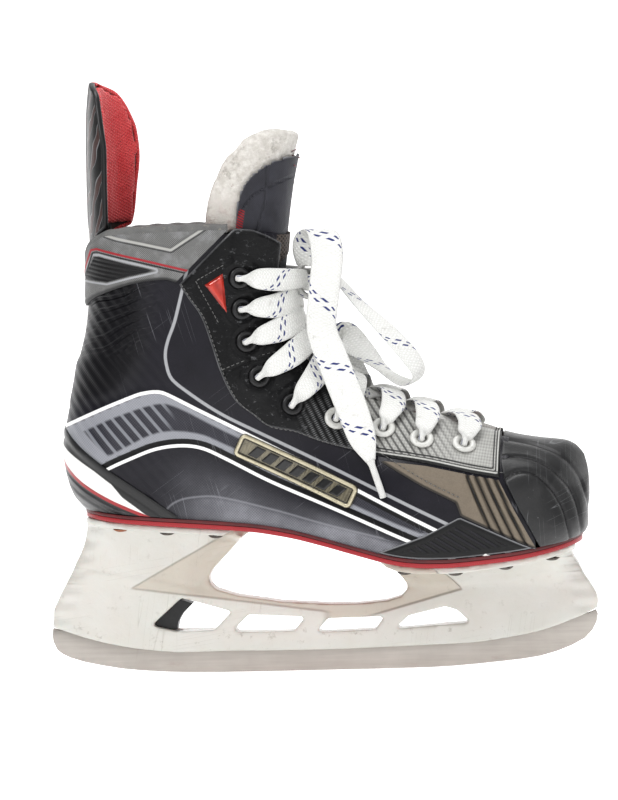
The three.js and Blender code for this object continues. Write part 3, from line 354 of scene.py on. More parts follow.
def sweep(name, centres, outward, rise, reach, material, sides=10, power=2.0, uv=True):
    """Closed bar along centres. rise is its half thickness along outward, reach its half width."""
    c = np.asarray(centres, float)
    t = unit(np.gradient(c, axis=0))
    n = np.broadcast_to(np.asarray(outward, float), c.shape)
    n = unit(n - (n * t).sum(1, keepdims=True) * t)
    s = np.cross(t, n)
    a = np.linspace(0, 2 * math.pi, sides, endpoint=False)
    cu = np.sign(np.cos(a)) * np.abs(np.cos(a)) ** (2 / power)
    cv = np.sign(np.sin(a)) * np.abs(np.sin(a)) ** (2 / power)
    rise = np.broadcast_to(rise, len(c))[:, None, None]
    reach = np.broadcast_to(reach, len(c))[:, None, None]
    ring = c[:, None] + s[:, None] * (cu[None, :, None] * reach) + n[:, None] * (cv[None, :, None] * rise)
    m = len(c)
    number = np.arange(m * sides).reshape(m, sides)
    right = np.roll(number, -1, axis=1)
    quads = np.stack([number[:-1], right[:-1], right[1:], number[1:]], -1).reshape(-1, 4)
    faces = [*quads.tolist(), number[0][::-1].tolist(), number[-1].tolist()]
    obj = make(name, ring.reshape(-1, 3), faces, material, close=False)
    if uv:
        run = np.concatenate([[0], np.cumsum(np.linalg.norm(np.diff(c, axis=0), axis=1))])
        layer = obj.data.uv_layers.new(name="UVMap")
        for polygon in obj.data.polygons:
            last = [v % sides for v in polygon.vertices]
            wraps = 0 in last and sides - 1 in last and len(last) == 4
            for loop in polygon.loop_indices:
                v = obj.data.loops[loop].vertex_index
                k = v % sides
                layer.data[loop].uv = ((k or (sides if wraps else 0)) / sides, run[v // sides])
    return obj


def join(name, objs):
    """Several objects as one."""
    for o in objs:
        settle(o)
    base = objs[0]
    bm = bmesh.new()
    for o in objs:
        bm.from_mesh(o.data)
    bm.to_mesh(base.data)
    bm.free()
    for o in objs[1:]:
        bpy.data.objects.remove(o)
    base.name = name
    return base


def turned(name, profile, material, sides=40):
    """Turned piece round Z from a closed profile of (radius, height)."""
    p = np.asarray(profile, float)
    a = np.linspace(0, 2 * math.pi, sides, endpoint=False)
    points = np.stack([np.outer(np.cos(a), p[:, 0]), np.outer(np.sin(a), p[:, 0]),
                       np.tile(p[:, 1], (sides, 1))], -1)
    n = len(p)
    faces = [(i * n + k, ((i + 1) % sides) * n + k, ((i + 1) % sides) * n + (k + 1) % n,
              i * n + (k + 1) % n) for i in range(sides) for k in range(n)]
    return make(name, points.reshape(-1, 3), faces, material, weld=0.005)


def cut(obj, outlines, y0, y1):
    """Takes prisms, whose outlines are side views, out of an object between two depths."""
    for k, outline in enumerate(outlines):
        p = np.asarray(outline, float)
        n = len(p)
        points = [(x, y, z) for y in (y0, y1) for x, z in p]
        faces = [list(range(n)), list(range(2 * n - 1, n - 1, -1)),
                 *([i, n + i, n + (i + 1) % n, (i + 1) % n] for i in range(n))]
        tool = make(f"cutter_{k}", points, faces, None or obj.data.materials[0])
        boolean = obj.modifiers.new("Cut", "BOOLEAN")
        boolean.operation = "DIFFERENCE"
        boolean.solver = "EXACT"
        boolean.object = tool
        settle(obj)
        bpy.data.objects.remove(tool)
    return obj


def plump(obj, voxel, cap, pressure=4.0):
    """Lets padding swell in a short cloth simulation, no point moving further than cap."""
    remesh = obj.modifiers.new("Even mesh", "REMESH")
    remesh.mode = "VOXEL"
    remesh.voxel_size = voxel * MM
    settle(obj)
    count = len(obj.data.vertices)
    start = np.empty(count * 3)
    obj.data.vertices.foreach_get("co", start)
    start = start.reshape(-1, 3)
    cloth = obj.modifiers.new("Cloth", "CLOTH")
    cloth.settings.use_pressure = True
    cloth.settings.uniform_pressure_force = pressure
    cloth.settings.effector_weights.gravity = 0
    for number in range(1, 21):
        bpy.context.scene.frame_set(number)
    settle(obj)
    end = np.empty(count * 3)
    obj.data.vertices.foreach_get("co", end)
    move = end.reshape(-1, 3) - start
    far = np.linalg.norm(move, axis=1, keepdims=True)
    start += move * np.minimum(1, cap * MM / np.maximum(far, 1e-9))
    obj.data.vertices.foreach_set("co", start.ravel())
    bpy.context.scene.frame_set(1)
    finer = obj.modifiers.new("Finer", "SUBSURF")
    finer.levels = finer.render_levels = 1
    settle(obj)
    obj.data.shade_smooth()
    return obj


def fit(obj, body, slot, *nodes, bend=None):
    """Puts a finished piece on its body, or, when bend is given, bakes its placement into its mesh, and
    hides its nodes.
    """
    if bend is None:
        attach(obj, body)
    else:
        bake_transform(obj)
    if nodes:
        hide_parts(*nodes)
    return obj


# ---------- shaders ----------
def ink(text):
    """Linear colour of a six-digit screen colour."""
    part = [int(text[k:k + 2], 16) / 255 for k in (0, 2, 4)]
    return tuple(v / 12.92 if v <= 0.04045 else ((v + 0.055) / 1.055) ** 2.4 for v in part)


class Wire:
    """A shader value that takes part in sums and products."""

    def __init__(self, paint, socket):
        self.paint = paint
        self.socket = socket

    def math(self, operation, *others):
        return self.paint.node("ShaderNodeMath", {"operation": operation}, [self, *others])

    def __add__(self, other):
        return self.math("ADD", other)

    __radd__ = __add__

    def __sub__(self, other):
        return self.math("SUBTRACT", other)

    def __rsub__(self, other):
        return self.paint.node("ShaderNodeMath", {"operation": "SUBTRACT"}, [other, self])

    def __mul__(self, other):
        return self.math("MULTIPLY", other)

    __rmul__ = __mul__

    def __truediv__(self, other):
        return self.math("DIVIDE", other)

    def __pow__(self, other):
        return self.math("POWER", other)

    def wave(self, period, shift=0.0):
        """Swings between 0 and 1 once in each period."""
        return (self * (2 * math.pi / period) + shift).math("SINE") * 0.5 + 0.5

    def step(self, low, high):
        """0 at low, 1 at high, smooth between."""
        return self.paint.node("ShaderNodeMapRange", {"interpolation_type": "SMOOTHSTEP"},
                               [self, low, high, 0.0, 1.0])

    def line(self, width, soft=0.25):
        """1 where the value is within half a width of zero."""
        return 1 - self.math("ABSOLUTE").step(width / 2 - soft, width / 2 + soft)


class Paint:
    """A material being made. Its places and patterns are in millimetres."""

    def __init__(self, name):
        self.material = bpy.data.materials.new(name)
        self.material.use_nodes = True
        self.tree = self.material.node_tree
        self.shader = self.tree.nodes["Principled BSDF"]
        where = self.node("ShaderNodeTexCoord", output=3)
        self.place = self.node("ShaderNodeVectorMath", {"operation": "SCALE"}, {0: where, "Scale": 1000.0})
        split = self.node("ShaderNodeSeparateXYZ", values=[self.place])
        self.x, self.y, self.z = (Wire(self, s) for s in split.socket.node.outputs)

    def node(self, kind, settings=None, values=None, output=0):
        made = self.tree.nodes.new(kind)
        for key, value in (settings or {}).items():
            setattr(made, key, value)
        pairs = values.items() if isinstance(values, dict) else enumerate(values or [])
        for key, value in pairs:
            self.put(made.inputs[key], value)
        return Wire(self, made.outputs[output])

    def put(self, socket, value):
        if isinstance(value, Wire):
            self.tree.links.new(value.socket, socket)
        elif socket.type == "RGBA" and len(value) == 3:
            socket.default_value = (*value, 1)
        else:
            socket.default_value = value

    def mark(self, name):
        return self.node("ShaderNodeAttribute", {"attribute_name": name}, output=2)

    def flat(self):
        """Across and along a strip, from its own map."""
        split = self.node("ShaderNodeSeparateXYZ", values=[self.node("ShaderNodeTexCoord", output=2)])
        return split, Wire(self, split.socket.node.outputs[1])

    def noise(self, size, detail=3.0, rough=0.55, stretch=(1, 1, 1), place=None):
        at_place = place or self.place
        if stretch != (1, 1, 1):
            at_place = self.node("ShaderNodeVectorMath", {"operation": "MULTIPLY"}, [at_place, stretch])
        return self.node("ShaderNodeTexNoise", None,
                         {"Vector": at_place, "Scale": 1 / size, "Detail": detail, "Roughness": rough})

    def cells(self, size, place=None, feature="F1"):
        return self.node("ShaderNodeTexVoronoi", {"feature": feature},
                         {"Vector": place or self.place, "Scale": 1 / size})

    def mix(self, share, a, b):
        return self.node("ShaderNodeMix", {"data_type": "RGBA"}, {0: share, 6: a, 7: b}, output=2)

    def scratches(self, size=9.0, turn=0.6):
        """Thin bright hairlines running two ways."""
        made = 0
        for k, (angle, long) in enumerate(((turn, 14.0), (turn + 1.25, 10.0))):
            turned_place = self.node("ShaderNodeVectorRotate", {"rotation_type": "Y_AXIS"},
                                     {"Vector": self.place, "Angle": angle})
            n = self.noise(size, 0.0, 0.5, (0.4 / long, 0.05, 2.2), turned_place)
            made = made + (n - 0.5).line(0.006, 0.006) * (self.noise(26 + 9 * k, 1.0) - 0.5).step(0.03, 0.1)
        return made

    def bump(self, height, depth, before=None):
        values = {"Height": height, "Distance": depth * MM, "Strength": 1.0}
        if before is not None:
            values["Normal"] = before
        return self.node("ShaderNodeBump", None, values)

    def done(self, color, rough, relief=(), metal=0.0, **fixed):
        """Feeds the shader: relief is a list of (height, depth) pairs."""
        normal = None
        for height, depth in relief:
            normal = self.bump(height, depth, normal)
        self.put(self.shader.inputs["Base Color"], color)
        self.put(self.shader.inputs["Roughness"], rough)
        self.put(self.shader.inputs["Metallic"], metal)
        if normal is not None:
            self.put(self.shader.inputs["Normal"], normal)
        for key, value in fixed.items():
            self.put(self.shader.inputs[key.replace("_", " ")], value)
        return self.material


MADE = {}


def finish_of(maker):
    """The material that a maker builds, built once."""
    if maker.__name__ not in MADE:
        MADE[maker.__name__] = maker(bpy.context.scene.skate_colours)
    return MADE[maker.__name__]


def weave(p, size, a=None, b=None):
    """Height of a plain weave over two directions."""
    a = p.x if a is None else a
    b = p.z if b is None else b
    return (a.wave(size) * b.wave(size)) + (1 - a.wave(size)) * (1 - b.wave(size))


def shell_skin(c):
    """Printed and moulded composite of the boot's sides."""
    p = Paint("Boot composite")
    cloud = p.noise(14, 5.0, 0.6)
    fibre = weave(p, 1.5)
    low = p.mark("low")
    top = p.mark("top")
    band = p.mark("band")
    pale = p.mark("pale")
    black = p.mix(cloud, c.shell_black, c.shell_blue)
    dusk = p.mix(p.mark("bulge").step(-8, 8), black, p.mix(cloud * 0.6, c.shell_blue, c.shell_haze))
    grey = p.mix(fibre * 0.35 + cloud * 0.6 + 0.12, c.shell_haze, c.shell_grey)
    color = p.mix(pale * (0.7 + 0.45 * cloud), dusk, grey)
    # Painted highlight: a pale line along the wave curve that bounds the pale lower region.
    color = p.mix(p.mark("wave").line(0.9, 0.6) * 0.45, color, c.shell_grey)
    inner = p.mark("inner").step(-0.5, 1.2)
    edge = p.mix(fibre * 0.6 + 0.2, c.panel_grey, c.shell_grey)
    dark = p.mix(fibre * 0.5 + cloud * 0.4, c.shell_blue, c.panel_dark)
    slant = (p.x * 0.78 + p.z * 0.62)
    bars = (slant.wave(5.2).step(0.62, 0.9)) * p.mark("bars")
    panel = p.mix(inner, edge, p.mix(bars, dark, c.panel_grey))
    color = p.mix(band, color, panel)
    color = p.mix((low - 2.4).line(2.6) * p.mark("run"), color, c.shell_black)
    color = p.mix((top + 2.1).line(2.0) * p.mark("fore"), color, c.shell_black)
    color = p.mix(p.mark("stripe").line(1.7), color, c.stripe_grey)
    white = top.line(1.8) + low.line(1.7)
    color = p.mix(white, color, c.print_white)
    hair = p.scratches() * p.x.step(-104, -92)
    color = p.mix(hair * 0.45, color, c.shell_grey)
    fan = ((p.z * 0.9 - p.x * 0.34 + p.noise(40, 1.0) * 9).wave(5.4).step(0.1, 0.55)) * p.mark("fan")
    relief = [(fibre, 0.05), (fan, 0.75), (p.mark("bars") * slant.wave(5.2), 0.35),
              (cloud, 0.25), (white, 0.12)]
    rough = 0.3 + cloud * 0.18 + hair * 0.3 + pale * 0.14
    return p.done(color, rough, relief, Coat_Weight=0.22, Coat_Roughness=0.2, Specular_IOR_Level=0.25)


def toe_rubber(c):
    p = Paint("Toe cap rubber")
    cloud = p.noise(16, 4.0, 0.6)
    speck = p.noise(0.9, 2.0, 0.7)
    hair = p.scratches(8.0, 0.35)
    chips = (p.noise(2.2, 3.0, 0.7) - 0.69).step(0.0, 0.05)
    color = p.mix(cloud, c.rubber_dark, c.rubber_worn)
    color = p.mix((hair * 0.5 + chips * 0.55), color, c.stripe_grey)
    groove = p.mark("groove")
    # Painted shade: the moulded grooves are darkened towards black.
    color = p.mix(groove * 0.75, color, c.shell_black)
    return p.done(color, 0.34 + cloud * 0.2, [(speck, 0.12), (cloud, 0.9), (1 - groove, 0.8)],
                  Coat_Weight=0.3, Coat_Roughness=0.24, Specular_IOR_Level=0.4)


def facing_leather(c):
    """Black eyestay: smooth coated leather above, ribbed carbon weave at its lower front."""
    p = Paint("Eyestay leather")
    cloud = p.noise(9, 4.0, 0.6)
    crease = p.noise(3.2, 3.0, 0.65, (1.0, 1.0, 2.2))
    ribs = (p.x * 0.9 + p.z * 0.45).wave(3.4)
    fibre = (p.x * 0.9 + p.z * 0.45).wave(3.4) * (p.z * 0.9 - p.x * 0.45).wave(1.1)
    low = p.mark("front")
    color = p.mix(cloud, c.leather_black, c.leather_sheen)
    color = p.mix(low, color, p.mix(fibre, c.leather_black, c.carbon))
    seam = p.mark("seam").line(0.9, 0.3)
    edge = 1 - p.mark("edge").step(0.3, 1.3)
    color = p.mix(edge * 0.5 * cloud, color, c.stripe_grey)
    scuff = (p.noise(5, 6.0, 0.8, (1.0, 1.0, 1.6)) - 0.57).step(0.0, 0.1)
    color = p.mix(scuff * 0.3, color, c.stripe_grey)
    return p.done(color, 0.3 + cloud * 0.16, [(crease, 0.6), (cloud, 1.2), (low * ribs, 0.6),
                                              (1 - seam, 0.8), (p.noise(0.8, 2.0), 0.05)],
                  Coat_Weight=0.3, Coat_Roughness=0.12, Specular_IOR_Level=0.12)


def forefoot_textile(c):
    """Silver forefoot: coated carbon weave, ribbed towards the rear, with a black piped hem."""
    p = Paint("Forefoot weave")
    cloud = p.noise(8, 5.0, 0.65)
    a = p.x * 0.83 + p.z * 0.56
    b = p.z * 0.83 - p.x * 0.56
    cloth = weave(p, 2.1, a, b)
    rear = 1 - p.x.step(52, 88)
    ribs = a.wave(2.9)
    color = p.mix(cloud * 0.45 + cloth * 0.55, c.silver_dark, c.silver)
    color = p.mix(rear * ribs.step(0.55, 0.9) * 0.75, color, c.leather_black)
    hem = 1 - p.mark("hem").step(2.2, 2.7)
    color = p.mix((p.mark("hem") - 3.6).line(0.7), color, c.shell_black)
    color = p.mix(hem, color, p.mix((p.mark("hem") - 1.5).line(0.7), c.leather_black, c.silver))
    color = p.mix((cloud - 0.62).step(0, 0.12) * 0.5, color, c.grime)
    return p.done(color, 0.42 + cloud * 0.2, [(cloth, 0.12), (rear * ribs, 0.5), (cloud, 0.7),
                                              (1 - hem, 0.5)], Coat_Weight=0.15, Coat_Roughness=0.3)


def tan_overlay(c):
    p = Paint("Tan overlay")
    cloud = p.noise(7, 4.0, 0.65)
    pebble = p.noise(0.8, 2.0, 0.6)
    ribs = p.mark("ribs")
    color = p.mix(cloud * 0.5 + pebble * 0.5, c.tan_dark, c.tan)
    color = p.mix(ribs, color, c.leather_black)
    color = p.mix((1 - p.mark("edge").step(0.6, 1.6)) * 0.8, color, c.leather_black)
    return p.done(color, 0.55 + cloud * 0.15, [(pebble, 0.16), (1 - ribs, 0.9)])


def ribbed_rubber(c):
    """Black overlay with slanted raised bars."""
    p = Paint("Ribbed overlay")
    cloud = p.noise(9, 4.0, 0.6)
    bars = (p.x * 0.86 + p.z * 1.32).wave(5.0).step(0.35, 0.8) * p.mark("edge").step(3.0, 4.5)
    color = p.mix(cloud, c.leather_black, c.leather_sheen)
    color = p.mix(bars * 0.35, color, c.shell_haze)
    color = p.mix((1 - p.mark("edge").step(0.2, 1.0)) * 0.6, color, c.stripe_grey)
    return p.done(color, 0.4 + cloud * 0.2, [(bars, 0.8), (p.noise(0.9, 2.0), 0.1)], Coat_Weight=0.12,
                  Specular_IOR_Level=0.35)


def heel_print(c):
    """Heel panel: pale plate with a red line, black moulding under it and a black edge band."""
    p = Paint("Heel panel")
    cloud = p.noise(8, 4.0, 0.6)
    grain = p.noise(0.8, 2.0, 0.6)
    black = p.mix(cloud, c.leather_black, c.leather_sheen)
    pale = p.mark("pale").step(-0.3, 0.3)
    color = p.mix(pale, black, p.mix(cloud * 0.35, c.print_white, c.grime))
    color = p.mix(p.mark("red").line(1.8), color, c.red_dark)
    under = p.mark("red").step(-16, -3) * (1 - p.mark("red").step(-3, -1))
    ribs = p.mark("red").wave(4.2) * (1 - pale) * under
    color = p.mix(ribs * 0.25, color, c.shell_haze)
    return p.done(color, 0.3 + cloud * 0.2, [(ribs, 1.0), (grain, 0.06), (pale, 0.3)],
                  Coat_Weight=0.35, Coat_Roughness=0.2)


def collar_textile(c):
    """Grey coated textile of the ankle cuff, with its red line and black ribbed wedge."""
    p = Paint("Collar textile")
    cloud = p.noise(10, 5.0, 0.65)
    cloth = weave(p, 1.05)
    color = p.mix(cloth * 0.7 + cloud * 0.2, c.collar_dark, c.collar)
    color = p.mix((cloud - 0.45).step(0.0, 0.25) * 0.35, color, c.stripe_grey)
    wedge = p.mark("wedge").step(-0.2, 0.6)
    ribs = (p.z + p.x * 0.2).wave(2.3)
    color = p.mix(wedge, color, p.mix(ribs * 0.5, c.shell_black, c.leather_sheen))
    color = p.mix((p.mark("wedge") + 0.9).line(1.0), color, c.stripe_grey)
    color = p.mix(p.mark("red").line(1.2), color, c.welt)
    color = p.mix((p.mark("red") - 1.5).line(0.8), color, c.shell_black)
    color = p.mix(p.mark("fold").line(1.3) * 0.8, color, c.collar_pale)
    color = p.mix((p.mark("fold") + 1.3).line(0.7) * 0.7, color, c.shell_black)
    color = p.mix((1 - p.mark("hem").step(0.6, 2.2)) * 0.85, color, c.leather_black)
    return p.done(color, 0.5 + cloud * 0.2, [(cloth, 0.09), (cloud, 0.5), (wedge * ribs, 0.7),
                                             (p.mark("fold").line(2.4, 1.2), 0.8),
                                             (p.mark("red").line(2.0, 0.6), 0.4)], Coat_Weight=0.1)


def binding(c):
    p = Paint("Binding")
    cloud = p.noise(7, 4.0, 0.65)
    rib = weave(p, 0.8)
    color = p.mix(rib * 0.4 + cloud * 0.5, c.collar_dark, c.collar)
    color = p.mix((p.noise(2.6, 3.0) - 0.62).step(0, 0.06) * 0.6, color, c.grime)
    return p.done(color, 0.7, [(rib, 0.12), (cloud, 0.6)])


def dark_lining(c):
    p = Paint("Ankle lining")
    cloud = p.noise(12, 4.0, 0.6)
    knit = weave(p, 1.3, p.x + p.y, p.z)
    color = p.mix(cloud * 0.5 + knit * 0.4, c.leather_black, c.lining)
    return p.done(color, 0.85, [(knit, 0.2), (cloud, 0.6)], Sheen_Weight=0.3)


def red_mesh(c):
    """Open red mesh of the guard's pad, darker between its threads."""
    p = Paint("Red spacer mesh")
    across = p.y * 0.5 + p.x * 0.9
    row = (p.z + across * 0.45).wave(1.7)
    column = (p.z - across * 0.9).wave(1.9)
    net = row * column
    cloud = p.noise(9, 4.0, 0.6)
    color = p.mix(net.step(-0.3, 0.2), c.red_dark, p.mix(cloud, c.red, c.red_pale))
    return p.done(color, 0.8, [(net, 0.55), (cloud, 0.4)], Sheen_Weight=0.25)


def guard_plastic(c):
    """Black flexible guard with a brown swirl set into it."""
    p = Paint("Guard plastic")
    cloud = p.noise(26, 2.0, 0.5)
    swirl = (p.z * 0.5 + p.y * 0.9 + cloud * 26).wave(11).step(0.62, 0.8)
    line = ((p.z * 0.5 + p.y * 0.9 + cloud * 26).wave(11) - 0.66).line(0.14, 0.05)
    color = p.mix(swirl * 0.75, c.leather_black, c.swirl)
    color = p.mix(line * 0.6, color, c.stripe_grey)
    return p.done(color, 0.24 + p.noise(5, 3.0) * 0.2, [(swirl, 0.7), (p.noise(0.8), 0.05)],
                  Coat_Weight=0.25, Coat_Roughness=0.15, Specular_IOR_Level=0.35)


def felt_white(c):
    """Worn white felt, matted, with grey and rusty stains."""
    p = Paint("White felt")
    fluff = p.noise(1.1, 6.0, 0.75)
    tuft = p.noise(3.4, 5.0, 0.7)
    stain = p.noise(13, 5.0, 0.7)
    color = p.mix(tuft.step(0.3, 0.8), c.felt_shade, c.felt)
    color = p.mix((stain - 0.56).step(0.0, 0.14) * 0.75, color, c.grime)
    color = p.mix((p.noise(5.5, 5.0, 0.75) - 0.66).step(0.0, 0.05) * 0.65, color, c.rust)
    color = p.mix((1 - (p.z - 238).step(4, 26)) * (tuft - 0.42).step(0, 0.2) * 0.55, color, c.rust)
    return p.done(color, 0.95, [(fluff, 0.6), (tuft, 1.2), (stain, 1.0)], Sheen_Weight=0.4)


def tongue_cover(c):
    p = Paint("Tongue cover")
    cloud = p.noise(9, 4.0, 0.6)
    cloth = weave(p, 0.9)
    crease = p.mark("crease").line(1.4, 0.7)
    color = p.mix(cloud * 0.6 + cloth * 0.3, c.leather_sheen, c.panel_dark)
    color = p.mix((1 - p.mark("edge").step(0.4, 1.6)) * 0.5, color, c.stripe_grey)
    red = p.mark("tag").step(-0.3, 0.3) * (p.z + p.x * 0.6).wave(1.5).step(0.1, 0.6)
    color = p.mix(red * 0.85, color, c.red_dark)
    return p.done(color, 0.5 + cloud * 0.15, [(cloth, 0.06), (1 - crease, 1.0), (cloud, 0.6)],
                  Coat_Weight=0.05, Specular_IOR_Level=0.3)


def spacer_mesh(c):
    """Brown-black open mesh over the lower tongue."""
    p = Paint("Tongue mesh")
    a = (p.z + p.x * 0.5 + p.y * 0.4)
    b = (p.z - p.x * 0.5 - p.y * 0.4)
    net = (a.wave(2.4) * b.wave(2.4)).step(0.15, 0.5)
    cloud = p.noise(8, 3.0)
    pinch = (p.noise(2.0, 3.0, 0.7) - 0.6).step(0.0, 0.05)
    color = p.mix(net, c.mesh_pale, c.mesh_brown)
    color = p.mix(cloud * 0.6, color, c.leather_black)
    red = (p.x - 30).step(0, 30)
    color = p.mix(red * 0.8, color, p.mix(pinch, c.red_dark, c.red))
    return p.done(color, 0.7, [(net, 0.8), (cloud, 0.5)])


def lace_weave(c):
    """Flat tubular braid with a pair of dark tracer threads winding round it."""
    p = Paint("Lace braid")
    around, run = p.flat()
    edge = around * 26
    a = edge + run
    b = edge - run
    braid = a.wave(1.9) * b.wave(1.9)
    turn = run / 37 - around
    near = turn.math("FRACT") - 0.5
    pair = (near - 0.045).line(0.036, 0.008) + (near + 0.045).line(0.036, 0.008)
    dash = (run * 1.0 + around * 8).wave(4.6).step(0.42, 0.55)
    tuft = p.noise(2.2, 4.0, 0.7)
    color = p.mix(braid * 0.6 + tuft * 0.35, c.lace_shade, c.lace)
    color = p.mix(pair * dash, color, c.tracer)
    color = p.mix((p.noise(7, 4.0, 0.7) - 0.6).step(0.0, 0.1) * 0.25, color, c.grime)
    return p.done(color, 0.85, [(braid, 0.3), (tuft, 0.25)], Sheen_Weight=0.2)


def beyond(p, across, up, shift):
    """1 on the positive side of the straight line across * x + up * z + shift = 0."""
    return (p.x * across + p.z * up + shift).step(-1, 1)


def holder_plastic(c):
    """Glossy white nylon, scuffed along its lower rail and stained near the runner, with painted shade in
    its recessed web, a painted shade line along the web's crease and painted shade between the ribs at its
    ends.
    """
    p = Paint("Holder plastic")
    cloud = p.noise(18, 4.0, 0.6)
    dirt = (p.noise(6, 5.0, 0.7) - 0.58).step(0.0, 0.12)
    low = 1 - p.z.step(14, 34)
    specks = (p.noise(1.2, 3.0, 0.7) - 0.68).step(0.0, 0.03)
    hair = p.scratches(9.0, 0.15)
    color = p.mix(cloud * 0.5, c.nylon, c.nylon_warm_and_shade)
    behind = beyond(p, 0.147, 1, -33) * beyond(p, 0.548, -1, 103.7)
    ahead = beyond(p, -0.27, 1, -22.2) * beyond(p, -1.22, -1, 137)
    shaded_recess = behind * (1 - p.x.step(0, 8)) + ahead * p.x.step(0, 8)
    # Painted shade: the recessed web round the opening and windows is darkened towards warm nylon, and a
    # darker painted shade line runs along its crease.
    color = p.mix(shaded_recess * 0.75, color, c.nylon_warm_and_shade)
    color = p.mix((shaded_recess - 0.5).line(0.5, 0.3) * 0.4, color, c.grime)
    between = p.x.step(-138, -124) * (1 - p.x.step(126, 138))
    # Painted shade in the grooves between the corrugated ribs at the holder's front and rear ends.
    shaded_rib_grooves = p.z.wave(8.5).step(0.2, 0.7) * (1 - between) * p.z.step(44, 52)
    color = p.mix(shaded_rib_grooves * 0.22, color, c.grime)
    color = p.mix(dirt * (0.2 + 0.45 * low) + specks * 0.4 * low + hair * 0.35, color, c.grime)
    return p.done(color, 0.26 + cloud * 0.14 + dirt * 0.2, [(p.noise(1.4, 2.0), 0.03), (hair, 0.06),
                                                            (cloud, 0.6), (1 - shaded_recess, 1.0),
                                                            (1 - shaded_rib_grooves, 0.5)], Coat_Weight=0.3,
                  Coat_Roughness=0.12, Subsurface_Weight=0.05)


def steel(c):
    """Stainless runner: fine long grinding marks and faint rust patches."""
    p = Paint("Runner steel")
    grind = p.noise(1.6, 3.0, 0.6, (0.04, 1.0, 1.0))
    fine = p.noise(0.5, 2.0, 0.6, (0.05, 1.0, 1.0))
    cloud = p.noise(24, 4.0, 0.6)
    hair = p.scratches(12.0, 0.1)
    color = p.mix(grind * 0.5 + cloud * 0.5, c.steel_dark, c.steel)
    color = p.mix((p.noise(9, 5.0, 0.7, (0.3, 1.0, 1.0)) - 0.62).step(0, 0.1) * 0.12, color, c.rust)
    return p.done(color, 0.3 + grind * 0.2 + hair * 0.2, [(grind, 0.04), (fine, 0.02)], metal=0.82)


def copper(c):
    p = Paint("Copper rivet")
    cloud = p.noise(1.6, 3.0, 0.7)
    # Painted shade: rivets forward of x = -92 mm are coloured dark for the shadow in their pockets; the
    # rearmost one stays bright copper.
    pocket_shade = p.x.step(-100, -92)
    bright = p.mix(cloud, c.copper, c.rust)
    color = p.mix(pocket_shade, bright, p.mix(cloud, c.leather_black, c.steel_dark))
    return p.done(color, 0.4 + cloud * 0.25, [(cloud, 0.1)], metal=0.8)


def welt_red(c):
    p = Paint("Red welt")
    cloud = p.noise(10, 4.0, 0.65)
    color = p.mix(cloud * 0.55, c.leather_black, c.red_dark)
    color = p.mix((p.noise(5, 4.0, 0.7) - 0.6).step(0.0, 0.1) * 0.6, color, c.leather_black)
    return p.done(color, 0.4 + cloud * 0.2, [(cloud, 0.2)], Coat_Weight=0.2)


def sole_composite(c):
    p = Paint("Outsole composite")
    cloud = p.noise(9, 4.0, 0.6)
    fibre = weave(p, 2.0, p.x + p.y, p.x - p.y)
    color = p.mix(cloud * 0.5 + fibre * 0.4, c.red_dark, c.welt)
    return p.done(color, 0.4 + cloud * 0.2, [(fibre, 0.08)], Coat_Weight=0.25)


def plate_frame(c):
    """Clear gilt frame and dark field of the side plate."""
    p = Paint("Side plate")
    cloud = p.noise(5, 4.0, 0.6)
    inner = p.mark("inner").step(-0.2, 0.2)
    frame_colour = p.mix(cloud, c.gilt, c.gilt_pale)
    hatch = (p.x * 0.9 - p.z * 0.44).wave(1.7)
    field = p.mix(cloud * 0.6, c.gilt_dark, c.gilt)
    ring = p.mark("inner").line(0.9, 0.3) + (p.mark("inner") + 2.6).line(0.7, 0.25)
    color = p.mix(inner, frame_colour, field)
    color = p.mix(ring * 0.85, color, c.leather_black)
    return p.done(color, 0.22 + cloud * 0.12, [(hatch * inner, 0.1), (cloud, 0.2)], metal=0.35,
                  Coat_Weight=0.6, Coat_Roughness=0.08)


def plate_bar(c):
    p = Paint("Plate bars")
    cloud = p.noise(3, 3.0, 0.6)
    return p.done(p.mix(cloud, c.shell_black, c.leather_sheen), 0.25 + cloud * 0.1, [(cloud, 0.1)],
                  Coat_Weight=0.5)


def gem_red(c):
    p = Paint("Red gem")
    facet = (p.x * 0.5 + p.z * 0.3).wave(3.2)
    cloud = p.noise(4, 3.0, 0.6)
    color = p.mix(cloud * 0.6 + facet * 0.4, c.gem_dark, c.gem)
    return p.done(color, 0.15 + cloud * 0.1, [(facet, 0.25)], metal=0.25, Coat_Weight=0.8,
                  Coat_Roughness=0.05)


def white_plastic(c):
    p = Paint("Eyelet enamel")
    cloud = p.noise(2.4, 4.0, 0.7)
    color = p.mix((cloud - 0.5).step(0, 0.25) * 0.5, c.nylon, c.grime)
    return p.done(color, 0.3 + cloud * 0.15, [(cloud, 0.08)], Coat_Weight=0.3)


def black_plastic(c):
    p = Paint("Black plastic")
    cloud = p.noise(3, 4.0, 0.6)
    return p.done(p.mix(cloud, c.shell_black, c.leather_sheen), 0.34 + cloud * 0.2,
                  [(p.noise(0.6), 0.05), (cloud, 0.1)], Coat_Weight=0.2)


def thread(c):
    p = Paint("Sewing thread")
    ply = (p.x + p.z + p.y).wave(0.5)
    return p.done(p.mix(ply, c.leather_black, c.thread), 0.7, [(ply, 0.05)])


def footbed_foam(c):
    p = Paint("Footbed foam")
    cloud = p.noise(6, 4.0, 0.6)
    pores = p.cells(1.1)
    return p.done(p.mix(cloud, c.lining, c.shell_haze), 0.9, [(pores, 0.2), (cloud, 0.4)])


def floor_paint(c):
    p = Paint("Floor")
    cloud = p.noise(160, 2.0)
    return p.done(p.mix(cloud * 0.15, c.floor, c.floor_shade), 0.8,
                  Emission_Color=(*c.floor, 1), Emission_Strength=0.45)


# ---------- settings ----------
def colour(label, text):
    return FloatVectorProperty(name=label, description=f"Colour: {label.lower()}", subtype="COLOR",
                               size=3, min=0, max=1, default=ink(text))


def size_of(label, millimetres, low=0.1, high=60):
    return FloatProperty(name=label, description=f"{label}, in millimetres", default=millimetres, min=low,
                         max=high)


